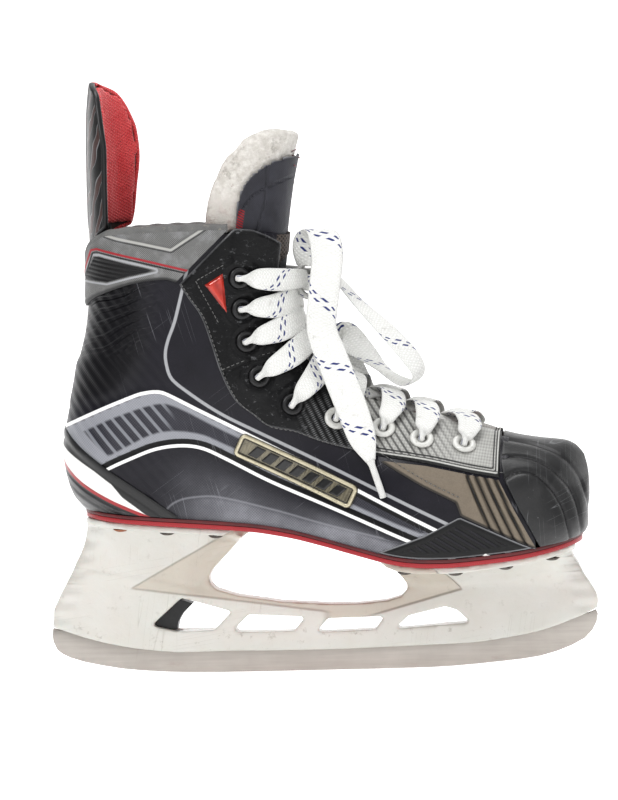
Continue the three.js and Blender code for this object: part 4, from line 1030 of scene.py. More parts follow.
class SkateColours(bpy.types.PropertyGroup):
    shell_black: colour("Shell black", "050407")
    shell_blue: colour("Shell blue black", "0c0b12")
    shell_haze: colour("Shell haze", "26242f")
    shell_grey: colour("Shell grey", "9a9ba1")
    panel_grey: colour("Panel grey", "7b7d83")
    panel_dark: colour("Panel dark", "4a4a53")
    stripe_grey: colour("Stripe grey", "9c9da0")
    print_white: colour("Print white", "f2f2f0")
    rubber_dark: colour("Toe rubber", "0c0c0d")
    rubber_worn: colour("Worn toe rubber", "303031")
    leather_black: colour("Leather black", "070708")
    leather_sheen: colour("Leather sheen", "121214")
    carbon: colour("Carbon weave", "6e6f70")
    silver: colour("Silver weave", "bdbdb9")
    silver_dark: colour("Silver weave shade", "7d7c79")
    tan: colour("Tan overlay", "867b6c")
    tan_dark: colour("Tan overlay shade", "5e564c")
    collar: colour("Cuff grey", "929290")
    collar_dark: colour("Cuff grey shade", "2b2b2d")
    collar_pale: colour("Cuff piping", "b4b3af")
    lining: colour("Lining", "232226")
    red: colour("Red", "dc3d42")
    red_pale: colour("Red highlights", "f0686a")
    red_dark: colour("Red shade", "9a2026")
    welt: colour("Welt red", "96202a")
    swirl: colour("Guard swirl", "4b3431")
    felt: colour("Felt", "e8e5e0")
    felt_shade: colour("Felt shade", "c6c1ba")
    # Grey-brown for dirt and stains, also used as painted shade along the holder's recess crease and
    # between its end ribs.
    grime: colour("Grime", "8b857c")
    rust: colour("Rust stain", "8a6a60")
    mesh_brown: colour("Tongue mesh", "2a211e")
    mesh_pale: colour("Tongue mesh holes", "6b5f58")
    lace: colour("Lace", "f6f6f4")
    lace_shade: colour("Lace shade", "d3d3d0")
    tracer: colour("Tracer thread", "1d2a6b")
    nylon: colour("Holder white", "cacac6")
    # Warm holder white: random warm tone on the holder, and the painted shade of its recessed web.
    nylon_warm_and_shade: colour("Holder warm white", "b5ada0")
    steel: colour("Steel", "c4bfb9")
    steel_dark: colour("Steel shade", "8f8984")
    copper: colour("Copper", "b0704a")
    gilt: colour("Plate gilt", "a39a80")
    gilt_pale: colour("Plate gilt highlights", "cfc8b0")
    gilt_dark: colour("Plate field", "4b483f")
    gem: colour("Gem", "c4331d")
    gem_dark: colour("Gem shade", "7c160f")
    thread: colour("Thread", "8e8e8c")
    floor: colour("Floor", "fbfbfb")
    floor_shade: colour("Floor shade", "efefef")


class SkateSizes(bpy.types.PropertyGroup):
    lace_width: size_of("Lace width", 13.0)
    lace_thickness: size_of("Lace thickness", 1.25)
    stitch_spacing: size_of("Stitch spacing", 2.6)
    stitch_length: size_of("Stitch length", 1.9)
    stitch_thickness: size_of("Stitch thickness", 0.5)
    pad_voxel: size_of("Padding mesh", 2.2)
    pad_swell: size_of("Padding swell", 1.6)
    holder_voxel: size_of("Holder mesh", 0.9)


def step(label, name):
    """Class decorator that names an operator for the panel."""
    def named(cls):
        cls.bl_idname = f"skate.{name}"
        cls.bl_label = label
        return cls
    return named


# ---------- laces ----------
BOW_NEAR = [(-1, -9, 219.5), (0, -9.5, 228), (3.4, -11, 236), (7, -14.5, 238.4), (10.6, -18, 233),
            (11.4, -20.5, 222), (9.4, -23.5, 205), (8, -29, 187)]
NEAR_OUT = [(0.1, 1, 0), (0, 1, 0.2), (-0.3, 0.7, 0.8), (0, 0, 1), (0.3, -0.8, 0.6), (0.2, -1, 0),
            (0.3, -0.95, 0), (0.4, -0.9, 0.1)]
NEAR_WIDE = [10, 16, 18.5, 18, 18, 17, 17, 17]
BOW_FAR = [(4.5, 4, 222), (14, 2, 213), (27, -4, 198), (42, -10, 183), (54, -14, 169), (58, -14, 160),
           (52, -10, 155), (38, 2, 162), (26, 13, 172), (16, 24, 180)]
FAR_OUT = [(1, 0.2, 0.2), (0.8, -0.2, 0.6), (0.7, -0.3, 0.6), (0.6, -0.5, 0.6), (0.7, -0.6, 0.5),
           (1, -0.4, -0.2), (0.1, 0.1, -1), (-0.6, 0.3, -0.8), (-0.4, 0.8, -0.5), (0, 1, -0.2)]
FAR_WIDE = [9, 13, 15, 16, 16, 15.5, 15, 15.5, 16, 16]
TAIL = [(13, 34, 172), (19, 39.5, 157), (24.6, 43.6, 142), (29.2, 45.6, 128), (33, 46, 116.4)]
TAIL_WIDE = [17, 17, 16.5, 14.5, 5.5]
AGLET = [(33.3, 46.1, 115.1), (39.3, 49.6, 96.9)]
AGLET_R = 1.8
KNOT = (-0.5, -1, 212)


def lace_colours():
    return finish_of(lace_weave)


def ribbon(name, points, outward, widths, rises=None, steps=9):
    """Flat lace along chosen points."""
    s = bpy.context.scene.skate_sizes
    path = curve(points, steps)
    out = unit(curve(outward, steps))
    reach = curve([(w, 0) for w in widths], steps)[:, 0] / 2
    rise = s.lace_thickness / 2 if rises is None else curve([(r, 0) for r in rises], steps)[:, 0]
    return sweep(name, path, out, rise, reach, lace_colours(), sides=16, power=2.7), path


def front_at(x, z):
    """Nearest point of the front line, and its outward direction."""
    k = int(np.argmin(np.hypot(FRONT_LINE[:, 0] - x, FRONT_LINE[:, 1] - z)))
    k = min(max(k, 1), len(FRONT_LINE) - 2)
    d = unit(FRONT_LINE[k + 1] - FRONT_LINE[k - 1])
    return FRONT_LINE[k], np.array([-d[1], d[0]])


def on_boot(x, z, side, lift):
    p, n = skin(x, z, side, lift)
    return p, n


def crossing(i, side):
    """One pass of the lace: out of eyelet i, over its facing's edge and under the other facing."""
    eyes = DARK_EYES + WHITE_EYES
    (x0, z0), (x1, z1) = eyes[i], eyes[i - 1]
    q0, n0 = front_at(x0, z0)
    q1, n1 = front_at(x1, z1)

    def over(t, y, lift):
        q, n = q0 + (q1 - q0) * t, unit(n0 + (n1 - n0) * t)
        return (q[0] + n[0] * lift, y, q[1] + n[1] * lift), unit(np.array([n[0], y / FRONT_R, n[1]]))

    def lay(x, z, q, t, lift, hand):
        return on_boot(x + (q[0] - x) * t, z + (q[1] - z) * t, hand, lift)

    base, out = on_boot(x0, z0, side, 0)
    across = np.array([n0[1], 0, -n0[0]])
    wide_lace = bpy.context.scene.skate_sizes.lace_width
    stops = [(base - out * 2.0, across, 3.4, 1.7), (base + out * 3.6, across, 4.4, 1.7),
             (*lay(x0, z0, q0, 0.26, 5.2, side), wide_lace * 0.78, 1.3),
             (*lay(x0, z0, q0, 0.6, 5.4, side), wide_lace * 1.02, 0.9),
             (*over(0.2, side * 14, 3.0), wide_lace, 0.8), (*over(0.5, 0, -1.2), wide_lace * 0.9, 0.8),
             (*over(0.72, -side * 13, -5.6), wide_lace * 0.5, 0.9),
             (*lay(x1, z1, q1, 0.42, -SHELL_T - 2.1, -side), 5, 0.9),
             (*lay(x1, z1, q1, 0, -SHELL_T - 1.9, -side), 3.6, 0.9)]
    p, n, w, r = zip(*stops)
    return ribbon(f"pass_{i}_{side}", p, n, w, r, 7)[0]


def knot_arm(side):
    """The lace from the top eyelet into the knot."""
    x, z = DARK_EYES[0]
    q, n = front_at(x, z)
    base, out = on_boot(x, z, side, 0)
    across = (n[1], 0, -n[0])
    a, an = on_boot(x + (q[0] - x) * 0.3, z - 0.5, side, 5.6)
    b, bn = on_boot(x + (q[0] - x) * 0.66, z - 1.4, side, 6.6)
    stops = [(base - out * 1.4, across, 3.4, 1.7), (base + out * 3.6, across, 4.6, 1.7), (a, an, 11, 1.2),
             (b, bn, 12.2, 0.9), ((-2.6, side * 13, 213), (1, side * 0.7, 0), 10, 1.1),
             ((-0.4, side * 3, 212.4), (1, 0, 0), 8, 1.4)]
    p, o, w, r = zip(*stops)
    return ribbon(f"arm_{side}", p, o, w, r, 8)[0]


@step("Laces", "laces")
class MakeLaces(bpy.types.Operator):
    """Lacing through the eyelets, the knot, and the bow with its two hanging ends"""

    def execute(self, context):
        for word, side, points, outward, widths in (("near", -1, BOW_NEAR, NEAR_OUT, NEAR_WIDE),
                                                    ("far", 1, BOW_FAR, FAR_OUT, FAR_WIDE)):
            tail = [(x, side * y, z) for x, y, z in TAIL]
            aims = [*outward, *([(0.1, side, 0.12)] * len(TAIL))]
            bow, path = ribbon(f"bow_{word}", points + tail, aims, widths + TAIL_WIDE)
            a, b = (np.array([x, side * y, z]) for x, y, z in AGLET)
            dirn = unit(b - a)
            grip = [a - dirn * 2.5, a, a + dirn, b - dirn, b - dirn * 0.3, b]
            radii = np.array([2.7, 2.1, AGLET_R, AGLET_R, AGLET_R * 0.95, AGLET_R * 0.7])
            flat = np.array([0.8, 1.4, AGLET_R, AGLET_R, AGLET_R * 0.95, AGLET_R * 0.7])
            tip = sweep(f"tip_{word}", grip, (0.1, side, 0.1), flat, radii, lace_colours(), 14)
            fit(bow, "boot", "lace", f"lace_bow_{word}")
            fit(tip, "boot", "aglet", f"aglet_{word}")
        rows = [crossing(i, side) for i in range(8, 0, -1) for side in (-1, 1)]
        fit(join("lacing", rows), "boot", "lace", "lace_row")
        turn = np.linspace(0, 2 * math.pi * 0.96, 13)
        kx, ky, kz = KNOT
        sleeve = [(kx + 0.8 + 6.8 * math.cos(a), ky - 1.4, kz + 9.4 * math.sin(a)) for a in turn]
        out = [(math.cos(a), 0, math.sin(a)) for a in turn]
        wrap, _ = ribbon("wrap", sleeve, out, [15] * len(turn), [1.5] * len(turn), 4)
        cross = [(kx + 1.6 + 5.2 * math.cos(a), ky + 7.6 * math.sin(a), kz + 1.5 * math.sin(a))
                 for a in turn]
        out = [(math.cos(a), math.sin(a), 0) for a in turn]
        cross_wrap, _ = ribbon("cross_wrap", cross, out, [9] * len(turn), [1.4] * len(turn), 4)
        fit(join("knot", [wrap, cross_wrap, knot_arm(-1), knot_arm(1)]), "boot", "lace", "lace_knot")
        return {"FINISHED"}


# ---------- shell ----------
LINES = [(-118.5, 246, -5.2, 246, 0), (-118.9, 222, -8.1, 222, 0), (-119.8, 208, -8.9, 208, 0),
         (-122, 192, -7.6, 192, 0), (-124.2, 181, -3.2, 181, 0), (-126.8, 172, 4.5, 172, 0),
         (-129.4, 160, 14, 164.3, 0), (-132.2, 148, 25, 157, 0), (-134.7, 136, 34, 152.2, 0),
         (-136.3, 124, 41, 149.2, 0), (-134.9, 112, 46.5, 146.8, 0), (-131.3, 100, 51, 145.1, 0),
         (-124.5, 92.4, 55, 143.6, 0), (-112, 91.1, 58, 142.5, 0), (-88, 88.8, 61.6, 141.2, 0),
         (-68, 87, 64.5, 140.3, 0), (-42, 84.7, 68.5, 139.1, 0), (-14, 80.6, 73, 137.7, 0),
         (14, 73.3, 78.5, 135.9, 0), (40, 66.2, 85, 133.7, 0), (64, 63.5, 92, 131.2, 0),
         (86, 64.3, 100, 128, 0), (104, 65.9, 109, 125.5, 0), (118, 67.5, 119, 123.6, 0)]
TOP_LINE = [(-134.9, 136.6), (-133.4, 137.4), (-108.8, 147.8), (-92, 154.2), (-85.5, 155.7), (-80.1, 156),
            (-74.8, 154.6), (-58.8, 146), (-32.3, 131.7), (27.7, 99.6), (66.5, 79.2), (100, 61)]
WAVE = [(-92, 66), (-84, 84), (-74, 96), (-60, 99), (-47, 98), (-20, 91), (6, 83.4), (40, 75)]
LOW_LINE = [(-125, 106), (-108.6, 115.1), (-96.2, 120.4), (-82.5, 125.3), (-68.9, 126.9), (-56.9, 125.1),
            (-43.6, 118.5), (-19.7, 105.5), (14.9, 90.2), (54, 72.8), (90, 57)]
STRIPE = [(-60, 226), (-66.3, 203.1), (-69.4, 192.4), (-73.1, 183.1), (-74.7, 176.3), (-74.2, 169.6),
          (-71.8, 162.7), (-63.9, 155.7), (-48.1, 144.4), (-29.6, 134.2), (31, 103.4), (70, 83.6),
          (110, 63)]
ANKLE_ARC = [(-85.2, 222), (-85.2, 203.8), (-84.4, 186.2), (-90.5, 168.9), (-103.1, 155.7), (-122.1, 151),
             (-140, 149)]
HEEL_ARC = [(-93, 222), (-94.1, 204), (-97.9, 189.3), (-104.9, 180.1), (-114.5, 175.7), (-126.1, 173.4),
            (-140, 172)]
LOW_ARC = [(-110, 98), (-96.6, 109.5), (-82.8, 115.9), (-65.1, 119.4), (-46.4, 113.9), (-29.1, 104.2),
           (-13.2, 95.5), (10, 84), (30, 75)]
SOLE_ARC = [(-80, 84), (-76.8, 95.4), (-65.6, 108), (-57.4, 109.6), (-44.1, 104), (-29.5, 93.1),
            (-15.1, 83), (0, 72)]
INNER_PANEL = [(-122, 135.4), (-104, 143), (-82, 149.6), (-70, 148), (-48, 136), (-20, 121.5),
               (20, 101.5), (58, 82), (58, 77.5), (14, 97), (-22, 115), (-46, 127), (-60, 133),
               (-80, 134), (-100, 125.5), (-108, 121.5)]


def shell_grid(rows, cols):
    """Side-view grid that sweeps from the collar round the heel and along the sole to the toe."""
    table = np.array(LINES, float)
    k = np.linspace(0, len(table) - 1, rows)
    bx, bz, fx, fz, _ = (cubic(np.arange(len(table)), table[:, c], k) for c in range(5))
    bx = np.where(bz > 93, at(BACK, bz), bx)
    s = spread(cols, "both")
    return bx[:, None] + (fx - bx)[:, None] * s, bz[:, None] + (fz - bz)[:, None] * s


def moulding(x, z):
    """Height of the shell's moulded swells and creases."""
    ankle = ramp(-offset(curve(ANKLE_ARC), x, z), -3.5, 2.5)
    heel = ramp(-offset(curve(HEEL_ARC), x, z), -2.5, 2.5)
    low = ramp(offset(curve(LOW_ARC), x, z), -2.2, 1.6)
    sole = ramp(offset(curve(SOLE_ARC), x, z), -2.0, 1.6)
    top = offset(curve(TOP_LINE), x, z)
    groove = np.exp(-((offset(curve(LOW_LINE), x, z) - 3.2) / 2.0) ** 2)
    fore = ramp(x, -46, -20)
    ridge = np.exp(-((top + 7.5) / 2.6) ** 2) * fore
    return (0.55 * ankle - 0.9 * heel * ankle - 0.5 * (1 - low) * ramp(-top, 10, 24) + 0.5 * sole
            + 0.45 * np.exp(-(top / 1.3) ** 2) - 0.55 * groove - 0.35 * ridge)


@step("Shell", "shell")
class MakeShell(bpy.types.Operator):
    """Two moulded sides of the boot with their printed lines and panels"""

    def execute(self, context):
        x, z = shell_grid(150, 90)
        top = offset(curve(TOP_LINE), x, z)
        low = offset(curve(LOW_LINE), x, z)
        y = half(x, z)
        collar = np.interp(x, [-119, -116.5, -110, -99, -80, -36], [224, 230.5, 236.4, 239.4, 240.2, 239.4])
        share = np.interp(x, [-9, 20, 46, 72, 84, 94], [1.02, 0.92, 0.9, 0.86, 0.78, 0.62])
        keep = (z < collar) & ((y > THROAT * share + 1.2) | (front_depth(x, z) > 14))
        seam = np.interp(z, [66, 105.7, 140], [119.7, 101.2, 101.2])
        keep &= x < seam + 5
        marks = {
            "top": top, "low": low, "stripe": offset(curve(STRIPE), x, z),
            "band": ramp(-top, 0.2, 0.8) * ramp(low, 2.6, 3.2),
            "inner": depth_in(curve(INNER_PANEL, 3), x, z),
            "bars": 1 - ramp(x, -78, -70),
            "pale": ramp(-low, 0, 24) * ramp(x, -90, -30) + 0.85 * ramp(-low, 0, 8) * ramp(x, -10, 20),
            "bulge": offset(curve(ANKLE_ARC), x, z),
            "run": ramp(x, -128, -120), "fore": ramp(x, 20, 26),
            "fan": ramp(-offset(curve(HEEL_ARC), x, z), -22, 2) * ramp(z, 172, 186),
        }
        wave = offset(curve(WAVE), x, z)
        marks["wave"] = wave
        marks["pale"] = np.clip(marks["pale"] * (0.55 + 0.5 * ramp(-wave, -0.5, 2.2)), 0, 1)
        lift = moulding(x, z)
        for word, side in SIDES.items():
            obj = sewn(f"shell_{word}", x, z, side, -SHELL_T, lift, finish_of(shell_skin), marks, keep)
            fit(obj, "boot", "quarter", f"quarter_{word}")
        return {"FINISHED"}


# ---------- toe cap ----------
CAP_GROOVES = [[(96, 126), (106, 123.5), (119, 120.5), (131, 115), (140, 105), (146, 90), (147, 74)],
               [(98, 115), (108, 115.4), (119, 113), (130, 105.5), (138, 94), (141.5, 80), (142, 66)],
               [(98, 101), (107, 106.5), (116, 107), (125, 100), (132, 88), (135, 76), (136, 64)]]


@step("Toe cap", "toe_cap")
class MakeToeCap(bpy.types.Operator):
    """Moulded rubber toe cap with three swept grooves"""

    def execute(self, context):
        sole = [(v, at(SOLE, v) + 0.5) for v in np.linspace(120.3, 143.2, 12)]
        line = FRONT_LINE[(FRONT_LINE[:, 0] >= 101) & (FRONT_LINE[:, 0] < 144.4)]
        seam = [(120.3, sole[0][1]), (108, 93), (103, 103.5), (101.4, 112), line[0]]
        toe = [(at(TOE, v), v) for v in np.linspace(sole[-1][1], line[-1][1], 24)]
        toe[0], toe[-1] = sole[-1], tuple(line[-1])
        x, z = patch(sole, line, seam, toe, 70, 76, "end", "end")
        x = np.minimum(x, at(TOE, z))
        x[-1] = at(TOE, z[-1])
        groove = np.zeros_like(x)
        swell = np.zeros_like(x)
        for k, path in enumerate(CAP_GROOVES):
            d = offset(curve(path), x, z)
            groove = np.maximum(groove, np.exp(-((d + 0.2) / 0.75) ** 2))
            swell += (0.75, 0.6, 0.9)[k] * ramp(-d, -1.2, 3.5)
        fade = ramp(np.hypot(x - 143, z - 113), 3, 22) * ramp(z, 66, 78)
        lift = CAP_PROUD + (swell - 0.7 - 1.0 * groove) * fade
        gx, gz, side = both(x[::-1], z[::-1])
        mark = {"groove": np.concatenate([groove[::-1][:0:-1], groove[::-1]]) * 1.0}
        lifts = np.concatenate([lift[::-1][:0:-1], lift[::-1]])
        obj = sewn("cap_moulded", gx, gz, side, CAP_PROUD - CAP_T, lifts, finish_of(toe_rubber), mark)
        fit(obj, "boot", "toe_cap", "toe_cap")
        return {"FINISHED"}


# ---------- sewn overlays ----------
FACING_OUT = [(-66, 212.6), (-61.1, 204.6), (-55, 195), (-50, 179.6), (-45.2, 163.9), (-38.5, 150.2),
              (-29.3, 142.2), (-21.4, 136), (-8, 132.8), (5.3, 127.4), (20.9, 122.6), (33.6, 119.4)]
VAMP_OUT = [(34, 119.3), (38, 118.2), (62, 113.8), (85, 108.2), (100.4, 105)]
TAN_LOW = [(38.5, 115.3), (60, 102.2), (77.4, 93.2), (79.6, 86.4), (96, 78.2), (118.4, 67.4)]
TAN_TOP = [(40, 115.6), (62, 112.4), (85, 107), (99.8, 104)]
BLACK_TOP = [(34.5, 67.4), (60, 76.4), (79, 85.6), (96, 77.6), (118, 67)]
PLATE = {"middle": (-7.3, 111.9), "angle": -26.4, "long": 69.5, "tall": 13.4, "corner": 3.2}
JEWEL = [(-52.4, 212), (-42.8, 217.8), (-41.6, 196.8)]


def edge_lift(x, z, outline, low, high, over=1.4):
    """Height of a padded overlay, falling off towards its sewn edge."""
    d = depth_in(outline, x, z)
    return d, low + (high - low) * (0.55 + 0.45 * ramp(d, 0.0, over))


@step("Overlays", "overlays")
class MakeOverlays(bpy.types.Operator):
    """Eyestays, forefoot panels and toe wraps sewn on each side"""

    def execute(self, context):
        throat_up = throat_line(-10, 14.5)
        throat_low = throat_line(14.5, 101)
        join_line = [FACING_OUT[-1], tuple(throat_up[-1])]
        for word, side in SIDES.items():
            head = [FACING_OUT[0], (-37.4, 240.2), (-35.5, 241.3), (-27, 240.4), (-19.6, 237),
                    tuple(throat_up[0])]
            low_edge = curve(FACING_OUT, 4)
            x, z = patch(low_edge, throat_up, head, join_line, 110, 40)
            outline = np.vstack([low_edge, throat_up[::-1], head[::-1]])
            d, lift = edge_lift(x, z, outline, GAP, GAP + OVERLAY_T + 0.35)
            seam = offset([(-60, 160), (-45.2, 164.6), (-28, 170.5), (-2, 176)], x, z)
            fold = np.zeros_like(x)
            for ex, ez in DARK_EYES:
                far = np.hypot(x - ex, z - ez)
                lift = lift + 0.55 * np.exp(-((far - 8.2) / 1.8) ** 2) - 0.4 * ramp(9 - far, 0, 3)
            lift = lift - 0.5 * np.exp(-(seam / 0.9) ** 2) + fold
            marks = {"edge": d, "seam": seam, "front": ramp(x, -8, 4) * ramp(-z, -154, -146)}
            low = np.where(np.arange(x.shape[1]) > x.shape[1] - 3, -SHELL_T + 0.2, GAP)[None] + 0 * x
            obj = sewn(f"eyestay_{word}", x, z, side, low, lift, finish_of(facing_leather), marks)
            fit(obj, "boot", "facing", f"facing_{word}")

            fore = [VAMP_OUT[-1], tuple(throat_low[-1])]
            rear = [VAMP_OUT[0], tuple(throat_low[0])]
            low_edge = curve(VAMP_OUT, 4)
            x, z = patch(low_edge, throat_low, rear, fore, 64, 30)
            outline = np.vstack([low_edge, throat_low[::-1]])
            d, lift = edge_lift(x, z, outline, GAP, GAP + OVERLAY_T + 0.1, 1.8)
            hem, _ = nearest(np.vstack([low_edge, fore]), x, z)
            lift = lift + 0.5 * np.exp(-((hem - 1.2) / 0.9) ** 2) - 0.35 * np.exp(-((hem - 3.4) / 0.8) ** 2)
            for ex, ez in WHITE_EYES:
                lift = lift - 0.35 * ramp(9.5 - np.hypot(x - ex, z - ez), 0, 3)
            low = np.where(np.arange(x.shape[1]) > x.shape[1] - 3, -SHELL_T + 0.2, GAP)[None] + 0 * x
            obj = sewn(f"forefoot_{word}", x, z, side, low, lift, finish_of(forefoot_textile), {"hem": hem})
            fit(obj, "boot", "vamp", f"vamp_{word}")

            x, z = patch(TAN_LOW, TAN_TOP, [TAN_LOW[0], TAN_TOP[0]], [TAN_LOW[-1], TAN_TOP[-1]], 70, 30)
            d, _ = nearest(TAN_LOW, x, z)
            across = offset([(90.2, 106.5), (99, 86), (108, 66)], x, z)
            rib = np.where(np.abs(across) < 8.6, 0.5 - 0.5 * np.cos(2 * math.pi * across / 4.3), 0)
            triangle = depth_in([(46, 109.5), (84.5, 103.5), (82, 92), (75, 96)], x, z)
            lift = GAP + 0.95 + 0.45 * ramp(triangle, -0.6, 0.8)
            lift = lift - 0.75 * rib * ramp(-np.abs(across), -8.6, -7.4)
            marks = {"edge": d, "ribs": np.where(np.abs(across) < 8.6, ramp(rib, 0.55, 0.95), 0)}
            tan = sewn(f"tan_wrap_{word}", x, z, side, GAP, lift, finish_of(tan_overlay), marks)
            fit(tan, "boot", "toe_wrap", f"toe_wrap_{word}")
            sole = [(v, at(SOLE, v) + 0.6) for v in np.linspace(35.5, 117.4, 20)]
            x, z = patch(sole, BLACK_TOP, [sole[0], BLACK_TOP[0]], [sole[-1], BLACK_TOP[-1]], 60, 20)
            d = depth_in(np.vstack([sole, BLACK_TOP[::-1]]), x, z)
            black = sewn(f"black_wrap_{word}", x, z, side, GAP, GAP + 0.5 + 0.5 * ramp(d, 0.4, 2),
                         finish_of(ribbed_rubber), {"edge": d})
            fit(black, "boot", "toe_wrap", f"toe_wrap_{word}")
        return {"FINISHED"}


def finer_ends(half_size, marks):
    """Places along a plate, with extra ones at its steps."""
    inner = np.linspace(-half_size + max(marks) + 0.4, half_size - max(marks) - 0.4,
                        max(4, int(half_size * 1.1)))
    steps_at = [m for m in sorted(marks)]
    return np.array([*(-half_size + m for m in steps_at), *inner, *(half_size - m for m in steps_at[::-1])])


@step("Side plates and gems", "plates")
class MakePlates(bpy.types.Operator):
    """Gilt plate and red gem on each side"""

    def execute(self, context):
        a = math.radians(PLATE["angle"])
        (mx, mz), hl, hw, r = PLATE["middle"], PLATE["long"] / 2, PLATE["tall"] / 2, PLATE["corner"]
        marks_at = [0, 0.25, 0.6, 1.0, 1.6, 2.2, 2.5, 2.8, 3.1, 3.5]
        s, t = (g.astype(float) for g in np.meshgrid(finer_ends(hl, marks_at), finer_ends(hw, marks_at),
                                                     indexing="ij"))
        cs, ct = np.maximum(np.abs(s) - (hl - r), 0) / r, np.maximum(np.abs(t) - (hw - r), 0) / r
        both_in = (cs > 0) & (ct > 0)
        long = np.maximum(np.hypot(cs, ct), 1e-9)
        scale = np.where(both_in, np.maximum(cs, ct) / long, 1)
        s = np.where(both_in, np.sign(s) * (hl - r + cs * scale * r), s)
        t = np.where(both_in, np.sign(t) * (hw - r + ct * scale * r), t)
        qs, qt = np.abs(s) - (hl - r), np.abs(t) - (hw - r)
        inside = r - np.hypot(np.maximum(qs, 0), np.maximum(qt, 0)) - np.minimum(np.maximum(qs, qt), 0)
        lift = GAP + 0.4 + 2.0 * ramp(inside, -0.3, 0.9) - 1.25 * ramp(inside, 2.0, 2.9)
        x = mx + s * math.cos(a) - t * math.sin(a)
        z = mz + s * math.sin(a) + t * math.cos(a)
        for word, side in SIDES.items():
            plate = sewn(f"plate_{word}", x, z, side, GAP, lift, finish_of(plate_frame),
                         {"inner": inside - 2.6})
            bars = []
            for k in range(7):
                u = np.linspace(-hl + 9 + k * 8.0, -hl + 14.4 + k * 8.0, 5)[:, None]
                v = np.linspace(-3.1, 3.1, 7)[None]
                u, v = u + v * 0.45, v + 0 * u
                bx, bz = mx + u * math.cos(a) - v * math.sin(a), mz + u * math.sin(a) + v * math.cos(a)
                bars.append(sewn(f"bar_{k}", bx, bz, side, 1.1, 2.1, finish_of(plate_bar)))
            fit(plate, "boot", "badge", f"badge_{word}")
            fit(join(f"plate_bars_{word}", bars), "boot", "badge", f"badge_{word}")
            back, top, tip = JEWEL
            x2, z2 = patch([tip, tip], [back, top], [tip, back], [tip, top], 14, 26)
            d = depth_in(JEWEL, x2, z2)
            gem = sewn(f"jewel_{word}", x2, z2, side, 2.0, 2.3 + 1.3 * ramp(d, -0.2, 1.6),
                       finish_of(gem_red))
            fit(gem, "boot", "gem", f"gem_{word}")
        return {"FINISHED"}


# ---------- heel panel and cuff ----------
HEEL_TOP = [(-134.5, 136.4), (-123.4, 126.6), (-109.9, 116.2), (-90.1, 102), (-72.2, 88.8)]
HEEL_RED = [(-136, 119.5), (-131, 113.5), (-122, 106.2), (-110, 99.4), (-97, 93), (-84, 87)]
HEEL_PALE = [(-140, 131.5), (-131.5, 124.6), (-115.7, 114.2), (-106.4, 107), (-101, 100), (-88, 89.5),
             (-97, 93.5), (-112, 101.2), (-125.6, 109.4), (-133, 117), (-140, 121)]
CUFF_LOW = [(-120.5, 201.5), (-116, 204.6), (-109, 208), (-91, 213.6), (-75, 215.4), (-67.6, 213.8)]
CUFF_TOP = [(-119, 222.5), (-117.4, 230.6), (-110.6, 237.2), (-99, 240.4), (-80, 241.2), (-60, 241.2),
            (-39.4, 240.8)]
WEDGE = [(-119.5, 216.4), (-111.4, 228.6), (-108, 228.6), (-78, 220.4), (-92, 217.6), (-104, 214.6)]
CUFF_RED = [(-121, 214), (-119, 219), (-112.6, 232), (-109, 232.6), (-60.3, 219.6), (-40, 214)]
CUFF_FOLD = [(-104, 240), (-98, 237.9), (-69.5, 231), (-56, 239.2), (-50, 243)]


@step("Heel panel and cuff", "cuff")
class MakeCuff(bpy.types.Operator):
    """Printed heel panel, grey ankle cuff and the rolled binding along the cuff's top"""

    def execute(self, context):
        sole = [(v, at(SOLE, v) + 0.6) for v in np.linspace(-124.6, -72, 20)]
        rear = [(at(BACK, v), v) for v in np.linspace(sole[0][1], 136.4, 30)]
        rear[0] = sole[0]
        top = [rear[-1], *HEEL_TOP[1:]]
        x, z = patch(sole, top, rear, [sole[-1], top[-1]], 70, 34, "start")
        x, z, side = both(x, z)
        d, _ = nearest(top, x, z)
        marks = {"pale": depth_in(HEEL_PALE, x, z), "red": offset(curve(HEEL_RED), x, z), "edge": d}
        lift = GAP + 0.9 + 0.35 * np.exp(-((d - 1.6) / 1.4) ** 2) - 0.3 * np.exp(-((d - 4.6) / 0.8) ** 2)
        obj = sewn("heel_panel", x, z, side, GAP, lift, finish_of(heel_print), marks)
        fit(obj, "boot", "heel_wrap", "heel_wrap")

        low = [(at(BACK, 201.5), 201.5), *CUFF_LOW[1:]]
        high = [(at(BACK, 222.5), 222.5), *CUFF_TOP[1:]]
        rear = [(at(BACK, v), v) for v in np.linspace(201.5, 222.5, 12)]
        x, z = patch(curve(low, 4), curve(high, 4), rear, [low[-1], high[-1]], 90, 30, "start")
        x, z, side = both(x, z)
        hem, _ = nearest(curve(low, 4), x, z)
        fold = offset(CUFF_FOLD, x, z)
        red = -offset(CUFF_RED, x, z)
        wedge = depth_in(WEDGE, x, z)
        lift = 2.0 - 0.9 * (1 - ramp(hem, 0.0, 2.2)) - 0.4 * np.exp(-((hem - 2.6) / 0.8) ** 2)
        lift = lift + 0.45 * np.exp(-(red / 1.2) ** 2) + 0.5 * ramp(-fold, -1.5, 0.5)
        lift = lift - 0.5 * ramp(wedge, -0.5, 0.8)
        marks = {"red": red, "fold": fold, "wedge": wedge, "hem": hem}
        obj = sewn("ankle_cuff", x, z, side, GAP, lift, finish_of(collar_textile), marks)
        fit(obj, "boot", "cuff", "cuff")

        rolls = []
        for _, hand in SIDES.items():
            line = even(curve(high, 6), 1.6)
            p, n = skin(line[:, 0], line[:, 1] + 0.6, hand, -1.3)
            if hand > 0:
                p, n = p[::-1], n[::-1]
            rolls.append((p, n))
        p = np.vstack([rolls[1][0][:-1], rolls[0][0]])
        n = np.vstack([rolls[1][1][:-1], rolls[0][1]])
        tall = 2.5 + 0.25 * np.sin(np.arange(len(p)) * 0.9) * ramp(np.abs(p[:, 1]), 4, 12)
        obj = sweep("cuff_binding", p, n, 3.9, tall, finish_of(binding), 16, uv=False)
        fit(obj, "boot", "cuff", "cuff")
        return {"FINISHED"}


